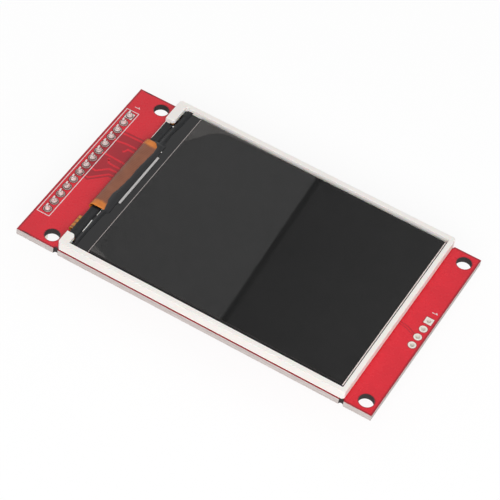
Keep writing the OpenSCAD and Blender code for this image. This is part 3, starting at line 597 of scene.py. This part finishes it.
def header_outline():
    """The printed rectangle round the header, as an outer and an inner outline."""
    x0, x1 = PIN_X - 1.62, PIN_X + 1.4
    y0, y1 = PIN_Y[-1] - 1.6, PIN_Y[0] + 1.6
    half = 0.09          # half the printed line's width
    return [rectangle(x0 - half, x1 + half, y0 - half, y1 + half),
            rectangle(x0 + half, x1 - half, y0 + half, y1 - half)]


def digit_one(x, y):
    """A plain numeral 1, read from the header end."""
    return [stroke([(x - 0.6, y), (x + 0.6, y), (x + 0.25, y + 0.4)], 0.17)]


def make_front(copper, ink):
    card_trace = [(33.0, CARD_Y[2] + 1.45), (36.2, CARD_Y[2] + 1.05), (CARD_X - 0.95, CARD_Y[2] + 0.1)]
    gap = stroke(card_trace[:2] + [(CARD_X - 1.12, CARD_Y[2] + 0.2)], 0.8)
    loops = [board_outline(EDGE_INSET), front_field(), gap] + clearances(FIELD_PINS)
    copper_plate("front_copper", loops, 1, copper)
    lines = [stroke(trace, FRONT_TRACE) for trace in front_traces()]
    lines += [stroke(card_trace, CARD_TRACE), ring(-39.8, 2.95, 0.36, 16)]
    for index, line in enumerate(lines):
        copper_plate("front_trace_%02d" % index, [line], 1, copper)
    flat_shape("front_ink", header_outline() + digit_one(PIN_X + 0.1, PIN_Y[0] + 3.0)
               + digit_one(CARD_X + 0.1, CARD_Y[0] + 2.5), COPPER, INK, ink)


def lands():
    """Tinned lands on the back: an empty sixteen-pad place, and those under the small parts."""
    spots = [(-25.0 + sx * 2.9, 6.3 + (i - 3.5) * 0.65, 1.5, 0.36) for sx in (-1, 1) for i in range(8)]
    spots += [(-16.0 + sx * 0.8, 6.0 + i * 2.0, 0.8, 0.9) for sx in (-1, 1) for i in range(3)]
    return spots


def make_back(copper, ink, tin, solder):
    pegs = [((SOCKET_LOW[0] + SOCKET_HIGH[0]) / 2 + side * 10, SOCKET_HIGH[1] - 6) for side in (-1, 1)]
    loops = [board_outline(EDGE_INSET), BACK_FIELD, CARD_FIELD] + clearances()
    loops += [ring(x, y, PEG_CLEAR, 24) for x, y in pegs]
    copper_plate("back_copper", loops, -1, copper)
    for index, line in enumerate(back_traces()):
        copper_plate("back_trace_%02d" % index, [stroke(line, BACK_TRACE)], -1, copper)
    bottom = BOARD_LOW[2] * MM - COPPER
    ink_lines = header_outline() + digit_one(PIN_X + 0.1, PIN_Y[0] + 3.0) + digit_one(CARD_X, CARD_Y[0] + 2.4)
    x0, x1, y0 = SOCKET_LOW[0] - 0.5, SOCKET_HIGH[0] + 0.5, SOCKET_LOW[1] - 0.2
    ink_lines += [stroke([(x0, y0 + 8), (x0, y0), (x0 + 2, y0)], PRINT_WIDTH)]
    ink_lines += [stroke([(x1 - 2, y0), (x1, y0), (x1, y0 + 8)], PRINT_WIDTH)]
    rx, ry = REGULATOR[:2]
    ink_lines += [stroke([(rx - 3.4, ry - 2.6), (rx - 3.4, ry + 2.6)], PRINT_WIDTH),
                  stroke([(rx + 3.2, ry - 2.6), (rx + 3.2, ry + 2.6)], PRINT_WIDTH),
                  stroke([(-27.4, 3.2), (-22.6, 3.2)], PRINT_WIDTH),
                  stroke([(-27.4, 9.4), (-22.6, 9.4)], PRINT_WIDTH),
                  ring(-28.6, 2.9, 0.22, 12)]
    flat_shape("back_ink", ink_lines, bottom, INK, ink)
    for index, (x, y, w, h) in enumerate(lands()):
        flat_shape("land_%02d" % index, [rectangle(x - w / 2, x + w / 2, y - h / 2, y + h / 2)],
                   bottom, 0.03 * MM, tin)
    make_fillets(solder)


def fillet(bm, x, y, along, reach, width, height):
    """A small solder wedge that starts at (x, y) and slopes down to the board's back."""
    z = BOARD_LOW[2] - COPPER / MM
    side = Vector((-along[1], along[0])) * width / 2
    inner = Vector((x, y))
    outer = inner + Vector(along) * reach
    corners = [(*(inner + side), z), (*(inner - side), z),
               (*(outer - side * 1.15), z), (*(outer + side * 1.15), z),
               (*(inner + side * 0.9), z - height), (*(inner - side * 0.9), z - height)]
    v = [bm.verts.new(Vector(c) * MM) for c in corners]
    for face in ((0, 1, 2, 3), (0, 4, 5, 1), (4, 3, 2, 5), (0, 3, 4), (1, 5, 2)):
        bm.faces.new([v[i] for i in face])


def part_boxes(node):
    """The box of each separate solid of a CAD node, in millimetres."""
    bm = bmesh.new()
    bm.from_mesh(NODES[node].data)
    bmesh.ops.remove_doubles(bm, verts=bm.verts, dist=0.0005 * MM)
    left = set(bm.verts)
    boxes = []
    while left:
        group, queue = [], [left.pop()]
        while queue:
            vert = queue.pop()
            group.append(vert.co / MM)
            for edge in vert.link_edges:
                other = edge.other_vert(vert)
                if other in left:
                    left.discard(other)
                    queue.append(other)
        low = [min(c[i] for c in group) for i in range(3)]
        high = [max(c[i] for c in group) for i in range(3)]
        boxes.append((low, high))
    bm.free()
    return boxes


def make_fillets(solder):
    """Solder at the chips' ends, the packages' legs, the socket's contacts and the shell's feet."""
    bm = bmesh.new()
    for node, width, height in (("resistor_bodies", 0.74, 0.3), ("capacitor_bodies", 1.15, 0.5)):
        for low, high in part_boxes(node):
            y = (low[1] + high[1]) / 2
            fillet(bm, low[0] - 0.05, y, (-1, 0), 0.32, width, height)
            fillet(bm, high[0] + 0.05, y, (1, 0), 0.32, width, height)
    for low, high in part_boxes("socket_contacts"):
        fillet(bm, (low[0] + high[0]) / 2, low[1] - 0.01, (0, -1), 0.4, 0.9, 0.16)
    for low, high in part_boxes("transistor_leads"):
        outward = -1 if (low[1] + high[1]) / 2 < TRANSISTOR[1] else 1
        edge = low[1] if outward < 0 else high[1]
        fillet(bm, (low[0] + high[0]) / 2, edge + outward * 0.01, (0, outward), 0.3, 0.5, 0.12)
    for low, high in part_boxes("regulator_leads"):
        outward = -1 if (low[0] + high[0]) / 2 < REGULATOR[0] else 1
        edge = low[0] if outward < 0 else high[0]
        width = high[1] - low[1] + 0.1
        fillet(bm, edge + outward * 0.01, (low[1] + high[1]) / 2, (outward, 0), 0.3, width, 0.12)
    for x, outward in ((SOCKET_LOW[0], -1), (SOCKET_HIGH[0], 1)):
        for y in (SOCKET_HIGH[1] - 4, SOCKET_LOW[1] + 4):
            fillet(bm, x + outward * 0.01, y, (outward, 0), 0.5, 2.2, 0.18)
    bmesh.ops.recalc_face_normals(bm, faces=bm.faces)
    from_bmesh("solder_fillets", bm, solder)


# ---------------------------------------------------------------- display pieces
def between(points, at):
    """The value at a place along (place, value) points, eased between them."""
    for (a, low), (b, high) in zip(points, points[1:]):
        if at <= b:
            t = min(max((at - a) / (b - a), 0.0), 1.0)
            return low + (high - low) * t * t * (3 - 2 * t)
    return points[-1][1]


# how far the film has come off the panel from its header end, at places across it
LIFT_NEAR = [(-22.9, -24.2), (-22.3, -25.2), (-21.6, -27.0), (-21.2, -28.5)]
LIFT_FAR = [(14.8, -28.5), (15.2, -28.0), (16.6, -26.9), (18.5, -25.7), (19.8, -24.9), (21.0, -23.8),
            (22.0, -22.3), (22.3, -19.0), (22.6, -12.0), (22.9, -4.0)]


def make_lifted_film(material):
    """The two header-end corners where the protective film has come off the panel."""
    for name, table in (("lifted_near", LIFT_NEAR), ("lifted_far", LIFT_FAR)):
        count = int((table[-1][0] - table[0][0]) / 0.4) + 1
        ys = [table[0][0] + (table[-1][0] - table[0][0]) * i / count for i in range(count + 1)]
        edge = []
        for y in ys:
            wander = 0.12 * noise.noise(Vector((1.0, y * 0.9, 3.1)))
            edge.append((max(between(table, y) + wander, FILM_LOW[0] + 0.15), y))
        loop = [(FILM_LOW[0] + 0.02, ys[0])] + edge + [(FILM_LOW[0] + 0.02, ys[-1])]
        flat_shape(name, [loop], FILM_Z, 0.03 * MM, material)


def sheet_along(name, profile, y0, y1, steps, thickness, material, shift):
    """A thin sheet swept along Y from a profile of (x, z) points in millimetres. shift(x, y, z, t)
    returns the moved point; t runs from 0 to 1 along the profile."""
    bm = bmesh.new()
    rows = []
    for j in range(steps + 1):
        y = y0 + (y1 - y0) * j / steps
        rows.append([bm.verts.new(Vector(shift(x, y, z, i / (len(profile) - 1))) * MM)
                     for i, (x, z) in enumerate(profile)])
    for j in range(steps):
        for i in range(len(profile) - 1):
            bm.faces.new((rows[j][i], rows[j][i + 1], rows[j + 1][i + 1], rows[j + 1][i]))
    bmesh.ops.recalc_face_normals(bm, faces=bm.faces)
    made = from_bmesh(name, bm, material, smooth=True)
    solid = made.modifiers.new("thickness", "SOLIDIFY")
    solid.thickness = thickness * MM
    solid.offset = 0
    return applied(made)


def bend_profile(x_start, z_top, x_out, z_bottom, x_end, steps=14):
    """Straight over the top, half a turn down to x_out, and straight back."""
    radius = (z_top - z_bottom) / 2
    middle = (z_top + z_bottom) / 2
    x_bend = x_out + radius
    top = [(x_start + (x_bend - x_start) * i / 8, z_top) for i in range(8)]
    arc = [(x_bend - radius * math.sin(math.pi * i / steps), middle + radius * math.cos(math.pi * i / steps))
           for i in range(steps + 1)]
    return top + arc + [(x_end, z_bottom)]


def make_display_flex(material):
    """The flex rises in a soft arch from its bonded edge and turns down round the frame."""
    profile = bend_profile(GLASS_LOW[0] + 1.1, GLASS_HIGH[2] + 0.05, FLEX_LOW[0] + 0.05, 0.1, FLEX_HIGH[0])

    def shift(x, y, z, t):
        over = max(0.0, 1.0 - abs(t - 0.28) / 0.28)
        end = abs(y - (FLEX_LOW[1] + FLEX_HIGH[1]) / 2) / (FLEX_HIGH[1] - FLEX_LOW[1]) * 2
        return x, y, z + 0.12 * over * (1 - 0.5 * end * end)

    made = sheet_along("flex_sheet", profile, FLEX_LOW[1], FLEX_HIGH[1], 60, 0.1, material,
                       shift)
    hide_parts("display_flex")


# where the black bead and tape edge lie over the flex, at places across it
BEAD_EDGE = [(-11.8, -32.0), (-11.3, -32.1), (-9.8, -32.4), (-8.3, -32.86), (-6.6, -32.96), (-4.6, -32.6),
             (-2.2, -32.4), (0.1, -32.32), (2.7, -32.36), (5.6, -32.2), (8.5, -32.0), (10.2, -32.17),
             (11.1, -32.8), (11.6, -33.6), (12.1, -33.9)]
# where the black tape ends on the glass
TAPE_EDGE = [(-24, -31.6), (-19, -31.7), (-14, -31.5), (-11.5, -31.3), (9.0, -30.8), (10.4, -30.85),
             (13.2, -31.4), (15.4, -31.5), (20.0, -31.1), (23.8, -31.0)]


# where the tape stops short of the frame's low wall, and by how much
BARE_FROM = 12.4
BARE_TOP = 0.17


def make_shield_tape(material):
    """Black tape over the lamps: it climbs onto the glass edge, creased, and turns down in front.
    It is narrower in front, between the frame's two corner tabs."""
    ledge = TAPE_HIGH[2] - 0.03
    glass_top = GLASS_HIGH[2]
    x_glass = GLASS_LOW[0]
    x_tab = FRAME_LOW[0] + 2.08
    x_out = FRAME_LOW[0] - 0.03
    foot = TAPE_LOW[2] + 0.02
    back = [(1.0, glass_top + 0.03), (0.6, glass_top + 0.07), (0.25, glass_top + 0.07),
            (-0.05, glass_top + 0.03), (-0.28, ledge + 0.2), (-0.45, ledge + 0.05)]

    def ripple(x, y):
        broad = 0.05 * noise.noise(Vector((x * 0.9, y * 0.3, 0.3)))
        return broad + 0.025 * noise.noise(Vector((x * 2, y * 1.1, 2)))

    def over_glass(x, y, z, t):
        if t < 0.5:
            x = x + (between(TAPE_EDGE, y) - x_glass - 1.0) * (1 - t / 0.5)
        return x, y, z + 0.03 + max(0.0, ripple(x, y))

    rail = FRAME_HIGH[1] - 1.3
    profile = [(x_glass + x, z) for x, z in back] + [(x_tab, ledge)]
    made = sheet_along("tape_back", profile, -rail, rail, 120, 0.04, material, over_glass)

    def in_front(x, y, z, t):
        folded = t > 0.7
        if y > BARE_FROM:
            return max(x, x_out + 0.03 + BARE_TOP), y, ledge + 0.02
        return x, y, z + (0.0 if folded else 0.035 + max(0.0, ripple(x, y)))

    profile = [(x_tab + 0.02, ledge)] + [(x_tab + (x_out - x_tab) * i / 5, ledge) for i in range(1, 5)]
    profile += [(x_out + 0.12, ledge + 0.03), (x_out, ledge - 0.08), (x_out, (ledge + foot) / 2),
                (x_out, foot)]
    front = sheet_along("tape_front", profile, TAPE_LOW[1], TAPE_HIGH[1], 90, 0.04, material,
                        in_front)
    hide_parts("light_shield_tape")
    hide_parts("light_shield_tape")


def make_glints(material):
    """Pale slivers laid along the tape's creases: painted glints on its folds."""
    spots = [((-32.66, -18.9), (-32.72, -15.1), 0.16), ((-32.62, -13.4), (-32.6, -11.9), 0.1),
             ((-32.6, -11.55), (-32.58, -11.2), 0.14), ((-32.74, 17.8), (-32.72, 18.1), 0.3),
             ((-30.7, 9.55), (-30.7, 9.8), 0.2)]
    top = TAPE_HIGH[2]
    for index, (a, b, width) in enumerate(spots):
        z = (GLASS_HIGH[2] + 0.16 if a[0] > GLASS_LOW[0] else top + 0.2) * MM
        middle = ((a[0] + b[0]) / 2 + 0.03, (a[1] + b[1]) / 2)
        # Each sliver is a painted glint, in the frame's white.
        flat_shape("sliver_%d" % index, [stroke([a, middle, b], width)], z, 0.02 * MM, material)


def make_sealant(material):
    """The wavy black bead over the flex's bonded edge."""
    bm = bmesh.new()
    y0, y1 = FLEX_LOW[1] - 0.35, FLEX_HIGH[1] + 0.35
    x_bond = GLASS_LOW[0] + 1.1
    glass = GLASS_HIGH[2]
    top = glass + 0.14
    steps = 100
    rows = []
    for j in range(steps + 1):
        y = y0 + (y1 - y0) * j / steps
        left = between(BEAD_EDGE, y) + 0.06 * noise.noise(Vector((y * 1.6, 5.0, 0.0)))
        right = x_bond + 0.35 + 0.2 * noise.noise(Vector((y * 0.6, 2.0, 0.0)))
        past_flex = y < FLEX_LOW[1] or y > FLEX_HIGH[1]
        row = []
        for i in range(11):
            u = i / 10
            x = left + (right - left) * u
            on_flex = 0.0 if past_flex else max(0.0, min(1.0, (x_bond - x) / 0.3))
            arch = 0.1 * on_flex * min(1.0, (x_bond - x) / 1.2) if on_flex else 0.0
            height = math.sin(math.pi * (0.15 + 0.85 * u)) * 0.07
            row.append(bm.verts.new(Vector((x, y, top + arch + height - (0.1 if past_flex else 0.0))) * MM))
        rows.append(row)
    for j in range(steps):
        for i in range(10):
            bm.faces.new((rows[j][i], rows[j][i + 1], rows[j + 1][i + 1], rows[j + 1][i]))
    bmesh.ops.recalc_face_normals(bm, faces=bm.faces)
    made = from_bmesh("sealing_bead", bm, material, smooth=True)
    solid = made.modifiers.new("thickness", "SOLIDIFY")
    solid.thickness = 0.06 * MM
    solid.offset = -1
    applied(made)
    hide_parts("flex_sealant")


def make_front_glass(material):
    """Front glass with a slightly broken top edge."""
    return softened("front_glass", material, 0.2 * MM, 1)


# ---------------------------------------------------------------- assembly
def build():
    copper = red_mask("mask_over_copper", MASK_RED).material
    ink = surface("white_ink", (0.80, 0.74, 0.74), 0.5, 1.5 * MM, shade=0.16).material
    dress(board_material(), "circuit_board")
    make_front(copper, ink)

    tin = surface("tinned_pad", (0.88, 0.83, 0.76), 0.5, 0.5 * MM, 0.01 * MM, shade=0.12, metallic=0.3)
    solder = solder_material()
    dress(tin.material, "header_pads", "card_pads", "flex_pads")
    dress(solder, "header_solder")
    make_back(copper, ink, tin.material, solder)
    dress(pin_material(), "header_pins")
    black = surface("black_plastic", (0.022, 0.022, 0.024), 0.42, 1.2 * MM, 0.01 * MM, shade=0.25)
    softened("header_strip", black.material, 0.06 * MM)

    white = frame_material()
    softened("display_frame", white, 0.07 * MM)
    dress(surface("foam", (0.02, 0.02, 0.02), 0.8, 0.3 * MM, 0.03 * MM).material, "mounting_tape")
    dress(surface("mirror_film", (0.85, 0.87, 0.9), 0.15, 5 * MM, shade=0.03).material, "reflector_sheet")
    dress(surface("clear_guide", (0.8, 0.84, 0.86), 0.1, 5 * MM, shade=0.05).material, "light_guide")
    dress(surface("milky_film", (0.85, 0.85, 0.84), 0.5, 5 * MM, shade=0.03).material, "diffuser_sheet")
    dress(surface("ribbed_film", (0.7, 0.74, 0.78), 0.25, 5 * MM, shade=0.05).material,
          "lower_prism_sheet", "upper_prism_sheet")
    dress(tail_material(), "backlight_flex")
    dress(surface("lamp_body", (0.85, 0.8, 0.5), 0.4, 0.6 * MM).material, "backlight_leds")
    tape = tape_material()
    dress(tape, "rim_tape")
    make_shield_tape(tape)
    make_glints(white)
    dress(polarizer_material(), "rear_polarizer", "front_polarizer")
    dress(dark_glass("ledge_glass", (0.006, 0.0062, 0.007), 0.1).material, "rear_glass")
    make_front_glass(front_glass_material())
    # The chip's light grey base colour, on a finish that isn't metallic: painted reflection of the bright
    # surroundings in the mirror-like silicon.
    silicon = surface("silicon", (0.50, 0.485, 0.48), 0.3, 2 * MM, shade=0.05)
    softened("driver_chip", silicon.material, 0.03 * MM, 1)
    make_display_flex(flex_material("flex_film", 1.7 * MM))
    bead = surface("sealing_black", (0.008, 0.0085, 0.01), 0.3, 1 * MM, 0.02 * MM)
    make_sealant(bead.material)
    dress(film_material("clear_film", 0.0, 3 * MM), "protective_film")
    make_lifted_film(film_material("lifted_film_sheen", 0.42, 2 * MM))

    shell = metal("shell_steel", (0.66, 0.66, 0.64), 0.32, 2.5 * MM)
    dress(shell.material, "socket_shell")
    softened("socket_base", black.material, 0.05 * MM)
    bronze = metal("spring_bronze", (0.80, 0.60, 0.28), 0.26)
    dress(bronze.material, "socket_contacts", "card_detect_spring")
    epoxy = surface("epoxy", (0.025, 0.025, 0.027), 0.5, 0.7 * MM, 0.012 * MM, shade=0.25)
    softened("regulator_body", epoxy.material, 0.06 * MM)
    softened("transistor_body", epoxy.material, 0.05 * MM)
    lead = metal("tinned_lead", (0.74, 0.74, 0.71), 0.28)
    dress(lead.material, "regulator_leads", "transistor_leads", "chip_terminals")
    dress(surface("resistor_glaze", (0.02, 0.02, 0.026), 0.25, 0.6 * MM).material, "resistor_bodies")
    dress(surface("capacitor_body", (0.36, 0.24, 0.13), 0.5, 0.5 * MM, 0.008 * MM).material,
          "capacitor_bodies")


# ---------------------------------------------------------------- stage, light and camera
AZIMUTH = math.radians(23.11)
ELEVATION = math.radians(49.70)
ROLL = math.radians(9.30)
DISTANCE = 526.8 * MM
TARGET = Vector((-1.571, -1.373, 0.0)) * MM
LENS = 178.5
SOFT_LIGHT = 0.36        # the world's strength for everything but what is seen directly or mirrored
FLOOR_GLOW = 0.9         # share of the floor's white that doesn't depend on the lamps
FLOOR_SIZE = 3.0
FLAG_HEIGHT = 0.6
FLAG_EDGE = [(-0.199, 0.58), (-0.186, 0.37)]
FLAG_STRIP = 0.0032      # width of the flag's darker strip along its edge
FLAG_WIDTH = 0.9
KEY_PLACE, KEY_SIZE, KEY_POWER = (0.32, -0.69, 0.64), (0.6, 0.5), 9.0
SIDE_PLACE, SIDE_SIZE, SIDE_POWER = (0.9, 0.1, 0.35), (0.5, 0.4), 1.2


def make_camera():
    data = bpy.data.cameras.new("camera")
    data.lens = LENS
    data.sensor_width = 36.0
    data.clip_start = 0.01
    camera = bpy.data.objects.new("camera", data)
    bpy.context.scene.collection.objects.link(camera)
    back = Vector((math.sin(AZIMUTH) * math.cos(ELEVATION), -math.cos(AZIMUTH) * math.cos(ELEVATION),
                   math.sin(ELEVATION)))
    right = Vector((math.cos(AZIMUTH), math.sin(AZIMUTH), 0))
    up = back.cross(right)
    turned = right * math.cos(ROLL) + up * math.sin(ROLL)
    risen = back.cross(turned)
    turn = Matrix((turned, risen, back)).transposed()
    camera.matrix_world = Matrix.Translation(TARGET + back * DISTANCE) @ turn.to_4x4()
    bpy.context.scene.camera = camera


def make_lamp(name, place, target, size, power):
    data = bpy.data.lights.new(name, "AREA")
    data.shape = "RECTANGLE"
    data.size, data.size_y = size
    data.energy = power
    lamp = bpy.data.objects.new(name, data)
    bpy.context.scene.collection.objects.link(lamp)
    lamp.location = place
    lamp.rotation_euler = (Vector(target) - Vector(place)).to_track_quat("-Z", "Y").to_euler()
    lamp.visible_camera = False
    lamp.visible_glossy = False
    return lamp


def make_world():
    """White for what the camera, gloss and glass see, and plain soft light for everything else."""
    world = bpy.data.worlds.new("studio")
    world.use_nodes = True
    bpy.context.scene.world = world
    tree = world.node_tree
    tree.nodes.clear()
    path = tree.nodes.new("ShaderNodeLightPath")
    output = tree.nodes.new("ShaderNodeOutputWorld")
    shades = []
    for strength in (SOFT_LIGHT, 1.0):
        background = tree.nodes.new("ShaderNodeBackground")
        background.inputs[0].default_value = (1, 1, 1, 1)
        background.inputs[1].default_value = strength
        shades.append(background)
    seen = path.outputs["Is Camera Ray"]
    for kind in ("Is Glossy Ray", "Is Transmission Ray"):
        joined = tree.nodes.new("ShaderNodeMath")
        joined.operation = "MAXIMUM"
        tree.links.new(seen, joined.inputs[0])
        tree.links.new(path.outputs[kind], joined.inputs[1])
        seen = joined.outputs[0]
    mixed = tree.nodes.new("ShaderNodeMixShader")
    tree.links.new(seen, mixed.inputs[0])
    tree.links.new(shades[0].outputs[0], mixed.inputs[1])
    tree.links.new(shades[1].outputs[0], mixed.inputs[2])
    tree.links.new(mixed.outputs[0], output.inputs[0])


def make_floor(z):
    """A white floor that keeps a trace of the object's shadow and can't be seen from below."""
    bm = bmesh.new()
    bmesh.ops.create_grid(bm, x_segments=1, y_segments=1, size=FLOOR_SIZE)
    mesh = bpy.data.meshes.new("floor")
    bm.to_mesh(mesh)
    bm.free()
    floor = bpy.data.objects.new("floor", mesh)
    bpy.context.scene.collection.objects.link(floor)
    floor.location = (0, 0, z)
    s = Shader("floor_white")
    tint = s.spread(s.noise(0.4, 2), 0.3, 0.7, 0.0, 1.0)
    path = s.node("ShaderNodeLightPath")
    plain = s.mix(tint, (0.52, 0.52, 0.52), (0.54, 0.54, 0.54))
    s.colour(s.mix(path.outputs["Is Camera Ray"], plain, (1.0, 1.0, 1.0)))
    s.rough(0.9)
    glow = s.node("ShaderNodeEmission")
    glow.inputs[1].default_value = 1.0
    lit = s.node("ShaderNodeMixShader")
    seen = s.math("MAXIMUM", path.outputs["Is Camera Ray"], path.outputs["Is Glossy Ray"])
    seen = s.math("MAXIMUM", seen, path.outputs["Is Transmission Ray"])
    s.link(s.math("MULTIPLY", seen, FLOOR_GLOW), lit.inputs[0])
    s.link(s.bsdf.outputs[0], lit.inputs[1])
    s.link(glow.outputs[0], lit.inputs[2])
    clear = s.node("ShaderNodeBsdfTransparent")
    below = s.node("ShaderNodeMixShader")
    geometry = s.node("ShaderNodeNewGeometry")
    s.link(geometry.outputs["Backfacing"], below.inputs[0])
    s.link(lit.outputs[0], below.inputs[1])
    s.link(clear.outputs[0], below.inputs[2])
    s.link(below.outputs[0], s.output.inputs[0])
    mesh.materials.append(s.material)


def make_flag():
    """A grey card high behind the object. Its mirror image gives the panel its soft tone step."""
    edge = FLAG_EDGE
    bm = bmesh.new()
    slope = (edge[1][0] - edge[0][0]) / (edge[1][1] - edge[0][1])
    far, near = 1.3, -0.6
    starts = [edge[0][0] + slope * (y - edge[0][1]) for y in (far, near)]
    v = [bm.verts.new((x, y, FLAG_HEIGHT)) for x, y in
         ((starts[0], far), (starts[1], near), (starts[1] + FLAG_WIDTH, near), (starts[0] + FLAG_WIDTH, far))]
    bm.faces.new(v)
    mesh = bpy.data.meshes.new("flag")
    bm.to_mesh(mesh)
    bm.free()
    flag = bpy.data.objects.new("flag", mesh)
    bpy.context.scene.collection.objects.link(flag)
    s = Shader("flag_grey")
    x, y = s.axes()[:2]
    inward = s.math("SUBTRACT", s.math("SUBTRACT", x, edge[0][0]),
                    s.math("MULTIPLY", s.math("SUBTRACT", y, edge[0][1]), slope))
    tone = s.mix(s.spread(inward, FLAG_STRIP * 0.8, FLAG_STRIP * 1.3), (0.30, 0.30, 0.30), (0.50, 0.50, 0.50))
    tone = s.mix(s.spread(inward, FLAG_STRIP, 0.09), tone, (0.68, 0.68, 0.68))
    glow = s.node("ShaderNodeEmission")
    s.link(tone, glow.inputs[0])
    s.link(glow.outputs[0], s.output.inputs[0])
    mesh.materials.append(s.material)
    for kind in ("camera", "diffuse", "transmission", "shadow"):
        setattr(flag, "visible_" + kind, False)


build()
make_camera()
make_world()
make_floor(cad_bounds[0][2] - 0.0001)
make_flag()
make_lamp("key", KEY_PLACE, (0, 0, 0), KEY_SIZE, KEY_POWER)
make_lamp("side", SIDE_PLACE, (0, 0, 0), SIDE_SIZE, SIDE_POWER)
bpy.context.scene.view_settings.view_transform = "Standard"
